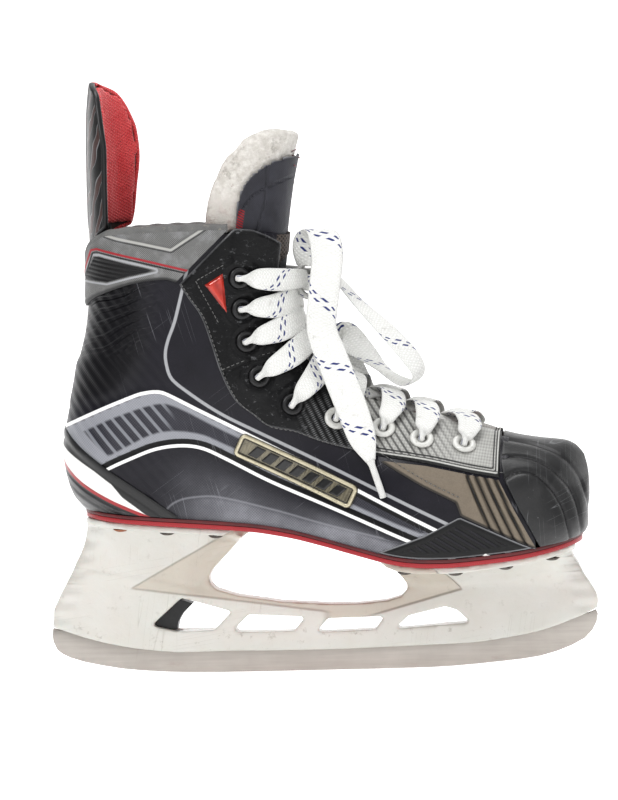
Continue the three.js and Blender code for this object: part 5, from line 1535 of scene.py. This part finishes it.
# ---------- guard ----------
GUARD_FOOT = [(-119, 224.4), (-117.4, 231.6), (-113.6, 237.4), (-109.5, 242)]
GUARD_NEAR = [(-106.6, 243.6), (-106.4, 262), (-106, 285), (-107.4, 296), (-109.8, 310), (-111.6, 318.5)]
GUARD_FAR = [(-101.5, 246), (-98, 266), (-95.6, 284), (-96.4, 296), (-100.5, 308), (-104.5, 315)]


def guard_point(x_reach, z, lift):
    """Point of the guard's cylinder-like wall: x_reach is its angle from the back."""
    back = at([(222, -118.6), (240, -118.4), (270, -118.2), (300, -117.4), (324, -115)], z)
    w = at([(222, 38), (240, 38), (290, 34), (312, 27), (324, 22)], z)
    deep = at([(222, 33), (240, 32), (290, 27), (324, 20)], z)
    n = unit(np.stack([-np.cos(x_reach) * w, np.sin(x_reach) * deep, 0 * w], -1))
    p = np.stack([back + deep * (1 - np.cos(x_reach)), w * np.sin(x_reach), z], -1)
    return p + n * np.asarray(lift)[..., None], n


def wing(z, far):
    """Angle at which the guard's wing ends at a height."""
    line = GUARD_FAR if far else GUARD_NEAR
    x = at([(v, u) for u, v in [*GUARD_FOOT, *line]], z)
    back = at([(222, -118.6), (240, -118.4), (270, -118.2), (300, -117.4), (324, -115)], z)
    deep = at([(222, 33), (240, 32), (290, 27), (324, 20)], z)
    return np.arccos(np.clip(1 - (x - back) / deep, -0.99, 1))


def guard_grid(z0, z1, rows, cols, lift, trim=0.0):
    """Grid of the guard's wall, its top corners rounded."""
    z = np.linspace(z0, z1, rows)
    near, far = wing(z, False) - trim, wing(z, True) - trim
    top = np.sqrt(np.clip(1 - ramp(z, z1 - 9, z1 + 0.8) ** 2, 0.02, 1))
    t = np.linspace(0, 1, cols)
    a = -near[:, None] * top[:, None] + (near * top + far * top)[:, None] * t[None]
    zz = np.broadcast_to(z[:, None], a.shape)
    return guard_point(a, zz, np.broadcast_to(lift, a.shape)), a, zz


@step("Tendon guard", "guard")
class MakeGuard(bpy.types.Operator):
    """Black tendon guard with its piped edge and red mesh pad"""

    def execute(self, context):
        s = context.scene.skate_sizes
        (outer, _), a, z = guard_grid(226, 321.2, 90, 80, 0.0)
        (inner, _), _, _ = guard_grid(226, 321.2, 90, 80, -2.2)
        ridge = 0.7 * np.exp(-((np.abs(a) - 0.16) / 0.07) ** 2) * ramp(z, 236, 250)
        outer = outer + unit(outer - inner) * ridge[..., None]
        shell = slab("heel_guard", outer, inner, finish_of(guard_plastic))
        (pad_out, _), _, _ = guard_grid(244.6, 319.6, 60, 60, -2.9, 0.0)
        (pad_in, _), _, _ = guard_grid(244.6, 319.6, 60, 60, -5.7, 0.0)
        pad = slab("heel_guard_pad", pad_in, pad_out, finish_of(red_mesh), soften=0.8)
        plump(pad, s.pad_voxel, s.pad_swell * 0.6, 3.0)
        (edge, n), _, _ = guard_grid(240, 321.0, 60, 60, -1.1)
        half_top = edge.shape[1] // 2
        near = np.vstack([edge[:, 0], edge[-1, 1:half_top]])
        near_out = np.vstack([n[:, 0], n[-1, 1:half_top]])
        far = np.vstack([edge[-1, half_top:-1], edge[::-1, -1]])
        far_out = np.vstack([n[-1, half_top:-1], n[::-1, -1]])
        piping = sweep("heel_guard_piping", near, near_out, 1.7, 1.1, finish_of(black_plastic), 12,
                       uv=False)
        hem = sweep("heel_guard_hem", far, far_out, 2.1, 1.3, finish_of(red_mesh), 12, uv=False)
        fit(shell, "guard", "tendon_guard", "tendon_guard")
        fit(pad, "guard", "tendon_guard_lining", "tendon_guard_lining")
        fit(piping, "guard", "tendon_guard", "tendon_guard")
        fit(hem, "guard", "tendon_guard_lining", "tendon_guard_lining")
        return {"FINISHED"}


# ---------- tongue and lining ----------
TONGUE = [(-62, 300, 6.6, 300), (-62, 290, 4.6, 290), (-62, 278, 1, 278), (-62, 262, -2.6, 262),
          (-62, 250, -4.6, 250), (-62, 238, -6.3, 238), (-62, 226, -7.7, 226), (-62, 212, -9, 212),
          (-60, 196, -8.3, 196), (-55, 180, -2.7, 180), (-46, 162, 9, 168), (-30, 142, 25, 157),
          (-8, 124, 41, 149.2), (18, 112, 55, 143.6), (42, 104, 68.5, 139.1), (64, 98, 82, 134.8),
          (84, 94, 96, 129.6), (98, 92, 105.5, 126.4)]
TONGUE_LOW = [(102, 97), (84, 101), (60, 107), (34, 118), (10, 132), (-14, 149), (-33, 170), (-43, 192),
              (-48, 214), (-49, 237.4), (10, 237.4), (40, 210), (60, 200), (120, 150), (112, 100)]
TONGUE_UP = [(-52, 239), (-52.2, 246), (-50.2, 256), (-47.6, 264.5), (-43, 275), (-36.6, 283),
             (-29.2, 288.4), (-21, 291.2), (-12, 292.6), (-5, 292.2), (3, 290), (20, 284), (20, 239)]
TONGUE_FACE = [(-35.4, 234.6), (-34.2, 250), (-32.4, 258), (-29.1, 264.5), (-24.6, 269.3), (-18.8, 273.2),
               (-12, 276.2), (-4, 277.8), (20, 279), (20, 234.6)]


def tongue_grid(rows, cols):
    """Side-view grid over the tongue, its last column on the middle plane."""
    t = np.array(TONGUE, float)
    k = np.linspace(0, len(t) - 1, rows)
    bx, bz, fx, fz = (cubic(np.arange(len(t)), t[:, c], k) for c in range(4))
    s = spread(cols, "both")
    return bx[:, None] + (fx - bx)[:, None] * s, bz[:, None] + (fz - bz)[:, None] * s


def tongue_slab(name, outline, low, high, material, marks=None, soften=1.0):
    """Both sides of a tongue layer within an outline, joined on the middle plane."""
    x, z = tongue_grid(150, 60)
    keep = depth_in(outline, x, z) > 0
    cx, cz, side = both(x.T[::-1], z.T[::-1])
    inside = keep.T[::-1]
    wanted = np.concatenate([inside[:0:-1], inside])
    made = {k: np.concatenate([f(x, z).T[::-1][:0:-1], f(x, z).T[::-1]]) for k, f in (marks or {}).items()}
    return sewn(name, cx, cz, side, low, high, material, made, wanted, soften)


TONGUE_BEND = ((-0.043, 0, 0.238), (-0.036, 0, 0.266))
# Loose threads at the tongue's tip: place across, reach forwards and rise.
LOOSE_ENDS = [(-6, 8, 3), (-4, 9.5, -1.5), (-5, 7, -6), (-2, 5, -9), (-3, 6.5, 5)]


@step("Tongue and lining", "tongue")
class MakeTongue(bpy.types.Operator):
    """Padded tongue with its felt and cover, and the ankle pads"""

    def execute(self, context):
        s = context.scene.skate_sizes
        x, z = tongue_grid(150, 60)
        middle = 1 - ramp(half(x, z), 6, 15)
        swell = 6.0 * ramp(z, 217, 227) + 4.6 * ramp(x, 26, 56) * middle * (1 - ramp(x, 92, 100))
        one = (-9.3 + swell).T[::-1]
        liner = tongue_slab("tongue_liner", TONGUE_LOW, -14.4, np.concatenate([one[:0:-1], one]),
                            finish_of(spacer_mesh))
        fit(liner, "boot", "tongue_lower", "tongue_lower")
        felt = tongue_slab("tongue_pad", TONGUE_UP, -14.6, -7.3, finish_of(felt_white), soften=1.4)
        plump(felt, s.pad_voxel, s.pad_swell)
        fit(felt, "tongue_top", "tongue_felt", "tongue_felt", bend=TONGUE_BEND)
        seams = [curve([(-33, 247), (-22, 259), (-2, 267)]), curve([(-24, 234), (-17, 254), (-15, 275)])]
        marks = {"edge": lambda x, z: depth_in(TONGUE_FACE, x, z),
                 "crease": lambda x, z: np.minimum(*(nearest(line, x, z)[0] for line in seams)),
                 "tag": lambda x, z: depth_in([(-36, 234), (-31.5, 234), (-28.5, 251), (-32, 251)], x, z)}
        face = tongue_slab("tongue_cover", TONGUE_FACE, -5.9, -4.7, finish_of(tongue_cover), marks, 0.5)
        loose = [sweep(f"loose_{k}", curve([(-12.5, y, 278.5), (-12 + dx * 0.5, y - 1, 279.5 + dz * 0.3),
                                            (-12 + dx, y - 2, 279 + dz)]), (0, 1, 0), 0.34, 0.34,
                       finish_of(black_plastic), 6) for k, (y, dx, dz) in enumerate(LOOSE_ENDS)]
        face = join("tongue_cover", [face, *loose])
        fit(face, "tongue_top", "tongue_face", "tongue_face", bend=TONGUE_BEND)
        for word, side in SIDES.items():
            x, z = shell_grid(80, 60)
            outline = [(-160, 238), (-160, 104), (-110, 104), (-80, 102), (-50, 100), (-29, 101),
                       (-31, 122), (-47, 145), (-59, 166), (-65, 190), (-66, 212), (-66, 236.6)]
            keep = (depth_in(outline, x, z) > 0) & (z < np.interp(x, [-119, -116.5, -110, -99],
                                                                  [222, 228, 234.4, 237]))
            pad = sewn(f"pad_{word}", x, z, side, -7.2, -SHELL_T - GAP - 0.4, finish_of(dark_lining),
                       keep=keep, soften=0.8)
            plump(pad, s.pad_voxel * 1.3, s.pad_swell * 0.5, 2.5)
            fit(pad, "boot", "lining", f"lining_{word}")
        return {"FINISHED"}


# ---------- holder, runner and soles ----------
REAR = [(10, -147), (27, -147), (30, -146.6), (35, -146.2), (44, -142.6), (57, -135.8), (65, -131.8),
        (74, -127.4), (82, -125.4), (95, -124.6)]
FORE = [(10, 147.6), (27, 148.6), (31, 149.6), (35, 150), (38, 149.4), (45, 146.4), (52, 142.6),
        (59, 139.6), (64, 137), (80, 138)]
LOW = [(-150, 27.8), (-147, 27), (-127.7, 21), (-112, 17), (-99, 14.6), (-86, 13), (-75, 12.2), (4, 11.5),
       (41, 12.2), (81, 13.5), (98, 15.5), (116, 18.6), (138, 25.6), (148.7, 30.2), (152, 32)]
OPENING = [(-33, 92), (-33, 79.5), (-40, 75), (-51, 63.6), (-57.4, 57.2), (-59.8, 53), (-59.4, 49.4),
           (-56.3, 46), (-45, 42.3), (-21, 38.3), (5, 36.4), (20.7, 36.2), (36, 37.4), (44, 39.6),
           (47.4, 43), (47.6, 46.4), (42.7, 54.4), (37, 59.4), (31, 63), (31, 92)]
WINDOWS = [[(-92, 27), (-75, 41.9), (-67, 39.6), (-48.2, 33.6), (-57.8, 23.8), (-77.9, 23.6)],
           [(-46.8, 24.4), (-38.8, 31.8), (-8.2, 29.8), (-14.6, 22), (-45.6, 22.2)],
           [(-2, 22), (4, 28.6), (34.6, 28.9), (29.4, 21.8), (0, 21.2)],
           [(41, 23), (47.6, 29), (67.6, 33.6), (74, 31.6), (80, 25.9), (78.6, 24.3), (63, 23.4), (43, 22)]]
POCKET = [(-101, 23.4), (-76, 23.4), (-72, 38.6), (-76, 44.4), (-92, 45.6), (-101, 38)]
GROOVE = [(-142.6, 0), (-142.6, 30), *((x, z + 4.4) for x, z in LOW[2:-2]), (144.6, 33.2), (144.6, 0)]
REAR_FLANGE = [(-125, 8), (-124, 15), (-120, 22), (-112, 27.5), (-104, 30.5), (-85, 32), (-60, 32),
               (-48, 30), (-40, 22), (-33, 14)]
FRONT_FLANGE = [(31, 22), (38, 34), (46, 43), (60, 45), (78, 45), (95, 43), (110, 38), (122, 31),
                (131, 23.5), (136, 16), (138.5, 8)]
FLANGE_TOP = -RIM_T - GAP - SOLE_T - GAP
EDGE = [(-142, 29.3), (-142, 24.8), (-146.9, 26.2), (-147.3, 22), (-147, 19), (-145, 14.4), (-142, 12),
        (-138, 10), (-130, 7.4), (-120, 5.2), (-110, 3.4), (-100, 2.2), (-88, 1.2), (-74, 0.5),
        (-58, 0.15), (-30, 0), (30, 0), (58, 0.15), (72, 0.7), (84, 1.5), (96, 2.5), (108, 3.6), (118, 5),
        (127, 7.4), (135, 10.4), (142, 14), (146.4, 18.4), (148.8, 23), (149.6, 27), (148.6, 29.3),
        (144, 27.4), (144, 32.4)]


def holder_half(x, z):
    top = at(SOLE, x) + FLANGE_TOP
    ridge = at([(-140, 34), (-100, 45), (-60, 42), (0, 37), (50, 40), (90, 44), (140, 40)], x)
    rail = at([(-147, 5.4), (-130, 7.4), (-100, 9), (-74, 8.4), (-50, 6.4), (50, 6.4), (80, 7.4),
               (120, 7.6), (150, 5)], x)
    flange = at([(-124, 18), (-116, 26), (-104, 30.5), (-80, 32), (-50, 32), (0, 34), (45, 43), (75, 45),
                 (100, 42), (115, 36), (126, 30), (134, 21), (139, 12)], x)
    low = at([(10, -1.4), (20, -0.6), (30, 0)], z)
    return rail + low + (flange - rail) * np.clip((z - ridge) / (top - ridge), 0, 1) ** 1.9 * 0.86


def plate_between(x0, x1, half_width, z0, z1, count, name, material, soften=0.5):
    """Plate that follows the boot's lower edge, of a half width given along it."""
    x = x0 + (x1 - x0) * spread(count, "both")
    z = at(SOLE, x)
    w = half_width(x, z)
    v = np.linspace(-1, 1, 25)[None]
    grid = lambda dz: np.stack([np.broadcast_to(x[:, None], (len(x), 25)), w[:, None] * v,
                                np.broadcast_to((z + dz)[:, None], (len(x), 25))], -1)
    return slab(name, grid(z1), grid(z0), material, soften=soften)


def sole_width(inset, x0, x1):
    def width(x, z):
        back = rounding(x - x0, BACK_R - inset * 0.5)
        toe = rounding(x1 - x, TOE_R - inset * 0.5)
        return np.maximum(0.6, (wide(x, z + 6) - inset) * back * toe)
    return width


def prism(name, outline, y0, y1, material):
    p = np.asarray(outline, float)
    n = len(p)
    points = [(x, y, z) for y in (y0, y1) for x, z in p]
    faces = [list(range(n)), list(range(2 * n - 1, n - 1, -1)),
             *([i, n + i, n + (i + 1) % n, (i + 1) % n] for i in range(n))]
    return make(name, points, faces, material)


@step("Soles, holder and runner", "holder")
class MakeHolder(bpy.types.Operator):
    """Outsole, welt, blade holder with its windows, and the steel runner"""

    def execute(self, context):
        s = context.scene.skate_sizes
        low = -RIM_T - GAP - SOLE_T
        board = plate_between(-125.6, 142.6, sole_width(-0.4, -125.6, 142.6), low, -RIM_T - GAP, 110,
                              "sole_board", finish_of(sole_composite), 0.4)
        fit(board, "boot", "outsole", "outsole")
        welt = plate_between(-126, 143, sole_width(-0.8, -126, 143), -RIM_T, 0, 110, "welt",
                             finish_of(welt_red), 0.5)
        fit(welt, "boot", "sole_rim", "sole_rim")

        white = finish_of(holder_plastic)
        u = np.linspace(0, 1, 150)
        v = np.linspace(0, 1, 44)[:, None]
        x0 = -147 + 297 * u
        z = at(LOW, x0) + (at(SOLE, x0) + FLANGE_TOP - FLANGE_T - at(LOW, x0)) * v
        x = at(REAR, z.ravel()).reshape(z.shape)
        x = x + (at(FORE, z.ravel()).reshape(z.shape) - x) * u
        bottom, top = at(LOW, x.ravel()).reshape(x.shape), at(SOLE, x.ravel()).reshape(x.shape)
        z2 = bottom + (top + FLANGE_TOP - FLANGE_T + 0.02 - bottom) * v
        rear = x - at(REAR, z2.ravel()).reshape(x.shape)
        fore = at(FORE, z2.ravel()).reshape(x.shape) - x
        end = 0.34 + 0.66 * np.minimum(rounding(rear, 15), rounding(fore, 15))
        w = np.maximum(1.6, holder_half(x.ravel(), z2.ravel()).reshape(x.shape) * end)
        beside = -depth_in(OPENING, x, z2)
        under = ramp(top + FLANGE_TOP - FLANGE_T - z2, 0, 5)
        w = w * (1 - 0.3 * under * (1 - ramp(beside, 3, 15)) * ramp(w, 6, 9))
        crease = offset(curve([(-112, 56), (-84, 51), (-60, 44), (-20, 36.5)]), x, z2)
        w = w + 0.9 * ramp(-crease, -1.2, 1.2) * ramp(x, -140, -118) * (1 - ramp(x, -66, -40))
        ends = 1 - ramp(np.minimum(rear, fore), 6, 15)
        w = w + 0.5 * ends * under * np.sin(z2 * 2 * math.pi / 8.5)
        grid = lambda hand: np.stack([x, hand * w, z2], -1)
        body = slab("blade_holder", grid(1), grid(-1), white, soften=0)
        rear_plate = plate_between(-124.8, -30, lambda px, pz: at(REAR_FLANGE, px), FLANGE_TOP - FLANGE_T,
                                   FLANGE_TOP, 60, "rear_plate", white, 0)
        fore_plate = plate_between(29, 138.6, lambda px, pz: at(FRONT_FLANGE, px), FLANGE_TOP - FLANGE_T,
                                   FLANGE_TOP, 60, "fore_plate", white, 0)
        for other in (rear_plate, fore_plate):
            union = body.modifiers.new("Union", "BOOLEAN")
            union.operation = "UNION"
            union.solver = "EXACT"
            union.object = other
            settle(body)
            bpy.data.objects.remove(other)
        cut(body, [OPENING, *WINDOWS], -90, 90)
        voxel = s.holder_voxel * 1
        remesh = body.modifiers.new("Even mesh", "REMESH")
        remesh.mode = "VOXEL"
        remesh.voxel_size = voxel * MM
        smooth = body.modifiers.new("Soft edges", "SMOOTH")
        smooth.iterations = 4
        smooth.factor = 0.5
        settle(body)
        cut(body, [GROOVE, *tabs(0.5)], -1.9, 1.9)
        cut(body, [POCKET], -4.9, 4.9)
        body.data.shade_smooth()
        fit(body, "boot", "holder", "holder")

        steel_line = [*EDGE, *((px, pz + 3.9) for px, pz in LOW[-3:1:-1])]
        runner = prism("blade", steel_line, -1.5, 1.5, finish_of(steel))
        ease_edges(runner, 0.3, 30)
        settle(runner)
        fit(runner, "steel", "runner", "runner")
        return {"FINISHED"}


def tabs(g):
    return [[(-99 - g, 12), (-99 - g, 24.2 + g), (-90 + g, 24.2 + g), (-90 + g, 12)],
            [(104 - g, 14), (104 - g, 28 + g), (113 + g, 28 + g), (113 + g, 14)]]


# ---------- repeated small pieces ----------
def scatter(name, template, places, out, body, slot, nodes, material):
    """Copies of one small piece, each turned to its direction, made with geometry nodes."""
    mesh = bpy.data.meshes.new(name)
    mesh.from_pydata((np.asarray(places, float) * MM).tolist(), [], [])
    mesh.attributes.new("aim", "FLOAT_VECTOR", "POINT").data.foreach_set("vector", np.ravel(out))
    obj = bpy.data.objects.new(name, mesh)
    bpy.context.scene.collection.objects.link(obj)
    tree = bpy.data.node_groups.new(name, "GeometryNodeTree")
    tree.interface.new_socket("Geometry", in_out="INPUT", socket_type="NodeSocketGeometry")
    pieces = tree.interface.new_socket("Piece", in_out="INPUT", socket_type="NodeSocketObject")
    finish = tree.interface.new_socket("Material", in_out="INPUT", socket_type="NodeSocketMaterial")
    tree.interface.new_socket("Geometry", in_out="OUTPUT", socket_type="NodeSocketGeometry")
    new = tree.nodes.new
    come, go = new("NodeGroupInput"), new("NodeGroupOutput")
    info, aim, turn = new("GeometryNodeObjectInfo"), new("GeometryNodeInputNamedAttribute"), new(
        "FunctionNodeAlignRotationToVector")
    copies, real, paint = new("GeometryNodeInstanceOnPoints"), new("GeometryNodeRealizeInstances"), new(
        "GeometryNodeSetMaterial")
    aim.data_type = "FLOAT_VECTOR"
    aim.inputs["Name"].default_value = "aim"
    turn.axis = "Z"
    link = tree.links.new
    link(come.outputs["Geometry"], copies.inputs["Points"])
    link(come.outputs["Piece"], info.inputs["Object"])
    link(info.outputs["Geometry"], copies.inputs["Instance"])
    link(aim.outputs["Attribute"], turn.inputs["Vector"])
    link(turn.outputs["Rotation"], copies.inputs["Rotation"])
    link(copies.outputs["Instances"], real.inputs["Geometry"])
    link(real.outputs["Geometry"], paint.inputs["Geometry"])
    link(come.outputs["Material"], paint.inputs["Material"])
    link(paint.outputs["Geometry"], go.inputs["Geometry"])
    modifier = obj.modifiers.new("Copies", "NODES")
    modifier.node_group = tree
    modifier[pieces.identifier] = template
    modifier[finish.identifier] = material
    settle(obj)
    bpy.data.objects.remove(template)
    if not len(obj.data.polygons):
        raise RuntimeError(f"{name} came out empty")
    obj.data.materials.clear()
    obj.data.materials.append(material)
    obj.data.shade_smooth()
    return fit(obj, body, slot, *nodes)


def stitch_run(name, lines, lift, material):
    """Raised thread stitches along seams on both sides of the boot."""
    s = bpy.context.scene.skate_sizes
    places, aims = [], []
    for line in lines:
        q = even(curve(line, 5), s.stitch_spacing)
        for side in (-1, 1):
            p, _ = skin(q[:, 0], q[:, 1], side, lift)
            places.append(p)
            aims.append(unit(np.gradient(p, axis=0)))
    half_long, r = s.stitch_length / 2, s.stitch_thickness / 2
    bead = turned("stitch", [(0.001, -half_long), (r * 0.7, -half_long * 0.85), (r, -half_long * 0.4),
                             (r, half_long * 0.4), (r * 0.7, half_long * 0.85), (0.001, half_long)],
                  material, 6)
    return scatter(name, bead, np.vstack(places), np.vstack(aims), "boot", "facing", (), material)


@step("Eyelets, rivets and stitches", "small")
class MakeSmall(bpy.types.Operator):
    """Eyelets on both sides, the holder's rivets and the rows of stitches"""

    def execute(self, context):
        shared = [(2.7, -3.7), (3.3, -3.7), (3.3, 1.9), (6.5, 1.9), (6.1, 2.7), (5.2, 3.1), (4.2, 3.05),
                  (3.2, 2.6), (2.7, 1.9)]
        white, black, metal = finish_of(white_plastic), finish_of(black_plastic), finish_of(copper)
        for name, eyes, material, nodes, shrink in (("white_eyelets", WHITE_EYES, white,
                                                     [f"eyelet_{w}_{k}" for w in SIDES
                                                      for k in range(1, 5)], 1),
                                                    ("dark_eyelets", DARK_EYES, black, (), 0.9)):
            places, aims = [], []
            for side in (-1, 1):
                for ex, ez in eyes:
                    p, n = skin(ex, ez, side, 0)
                    places.append(p)
                    aims.append(n)
            ring = turned("ring", [(r if r < 3.4 else r * shrink, h) for r, h in shared], material, 32)
            scatter(name, ring, places, aims, "boot", "eyelet", nodes, material)
        seat = FLANGE_TOP - FLANGE_T - GAP
        head = turned("head", [(0.001, 1.5), (1.6, 1.42), (2.8, 1.1), (3.8, 0.4), (4.2, 0), (2, 0),
                               (2, -6.4), (0.001, -6.4)], metal, 28)
        places = [(x, s * y, at(SOLE, x) + seat) for x, y in RIVETS for s in (-1, 1)]
        nodes = [f"rivet_{w}_{k}" for w in SIDES for k in range(1, 8)]
        scatter("rivets", head, places, [(0, 0, -1.0)] * len(places), "boot", "rivet", nodes, metal)
        inset = [(x + 1.6, z - 0.4) for x, z in FACING_OUT[:-1]]
        stitch_run("stitches", [inset, [(x + 0.4, z + 3.6) for x, z in CUFF_LOW],
                                [(x + 0.8, z + 2.0) for x, z in VAMP_OUT], 
                                [(-44, 167), (-28, 172.5), (-8, 176)], [(-56.6, 213.4), (-46.4, 192.6)],
                                [(-55.6, 215), (-43, 221.8)],
                                [(x + 1, z + 3.2) for x, z in TAN_LOW[:3]]], GAP + 1.75, finish_of(thread))
        return {"FINISHED"}


@step("Frame finishes", "finishes")
class FinishFrame(bpy.types.Operator):
    """Materials of the pieces that are shown as they come from the frame"""

    def execute(self, context):
        for node, maker, slot in (("footbed", footbed_foam, "footbed"),
                                  ("trigger", black_plastic, "trigger"),
                                  ("trigger_pin", steel, "trigger_pin")):
            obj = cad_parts[node]
            obj.data.materials.clear()
            obj.data.materials.append(finish_of(maker))
        return {"FINISHED"}


# ---------- camera, light and floor ----------
LIGHTS = [("key", (-0.7, -1.4, 1.7), 0.9, 19), ("fill", (1.3, -1.3, 0.8), 1.4, 6),
          ("top", (0.1, 0.1, 1.8), 1.1, 13), ("front", (0.1, -2.3, 0.5), 1.4, 4)]
LIT = Vector((0, 0, 0.14))
AIM = Vector((-0.0026, 0, 0.1468))
SWING, DIP, ROLL = (math.radians(a) for a in (5, 3.5, -2))
DISTANCE = 2.0
FLOOR_SIDE = [(-3.0, 0), (1.7, 0), (2.1, 0.12), (2.35, 0.5), (2.4, 2.6)]
FLOOR_HALF = 4


@step("Camera, lights and floor", "stage")
class MakeStage(bpy.types.Operator):
    """Pale floor and backdrop, soft lights and the camera"""

    def execute(self, context):
        scene = context.scene
        line = curve(FLOOR_SIDE, 8) / MM
        points = [(x / MM, y, z) for x in (-FLOOR_HALF, FLOOR_HALF) for y, z in line]
        n = len(line)
        faces = [(k, n + k, n + k + 1, k + 1) for k in range(n - 1)]
        floor = make("floor", points, faces, finish_of(floor_paint), close=False)
        for name, where, wide_m, watts in LIGHTS:
            data = bpy.data.lights.new(name, "AREA")
            data.shape = "RECTANGLE"
            data.size = data.size_y = wide_m
            data.energy = watts
            light = bpy.data.objects.new(name, data)
            light.location = where
            light.rotation_euler = (LIT - light.location).to_track_quat("-Z", "Y").to_euler()
            scene.collection.objects.link(light)
        world = bpy.data.worlds.new("Studio")
        world.use_nodes = True
        sky = world.node_tree.nodes["Background"].inputs
        sky["Color"].default_value = (1, 1, 1, 1)
        sky["Strength"].default_value = 0.3
        scene.world = world
        data = bpy.data.cameras.new("camera")
        data.sensor_fit = "VERTICAL"
        data.sensor_height = 24
        data.lens = 111
        camera = bpy.data.objects.new("camera", data)
        flat = math.cos(DIP)
        away = Vector((math.sin(SWING) * flat, -math.cos(SWING) * flat, math.sin(DIP)))
        camera.location = AIM + away * DISTANCE
        rolled = away.to_track_quat("Z", "Y") @ Quaternion((0, 0, 1), ROLL)
        camera.rotation_euler = rolled.to_euler()
        scene.collection.objects.link(camera)
        scene.camera = camera
        scene.view_settings.view_transform = "Standard"
        scene.view_settings.look = "Medium High Contrast"
        return {"FINISHED"}


# ---------- panel and registration ----------
STEPS = [MakeStage, MakeLaces, MakeShell, MakeToeCap, MakeOverlays, MakePlates, MakeCuff, MakeGuard,
         MakeTongue, MakeHolder, MakeSmall, FinishFrame]


class SkatePanel(bpy.types.Panel):
    """Steps that build the skate"""
    bl_idname = "SKATE_PT_steps"
    bl_label = "Ice Hockey Skate"
    bl_space_type = "VIEW_3D"
    bl_region_type = "UI"
    bl_category = "Skate"

    def draw(self, context):
        for made in STEPS:
            self.layout.operator(made.bl_idname)
        for name in SkateSizes.__annotations__:
            self.layout.prop(context.scene.skate_sizes, name)


def register():
    for made in (SkateColours, SkateSizes, *STEPS, SkatePanel):
        bpy.utils.register_class(made)
    bpy.types.Scene.skate_colours = PointerProperty(type=SkateColours)
    bpy.types.Scene.skate_sizes = PointerProperty(type=SkateSizes)


def unregister():
    del bpy.types.Scene.skate_sizes
    del bpy.types.Scene.skate_colours
    for made in reversed((SkateColours, SkateSizes, *STEPS, SkatePanel)):
        bpy.utils.unregister_class(made)


def main():
    register()
    for made in STEPS:
        result = getattr(bpy.ops.skate, made.bl_idname.split(".")[1])()
        if "FINISHED" not in result:
            raise RuntimeError(f"{made.bl_label} did not finish")


if __name__ == "__main__":
    main()
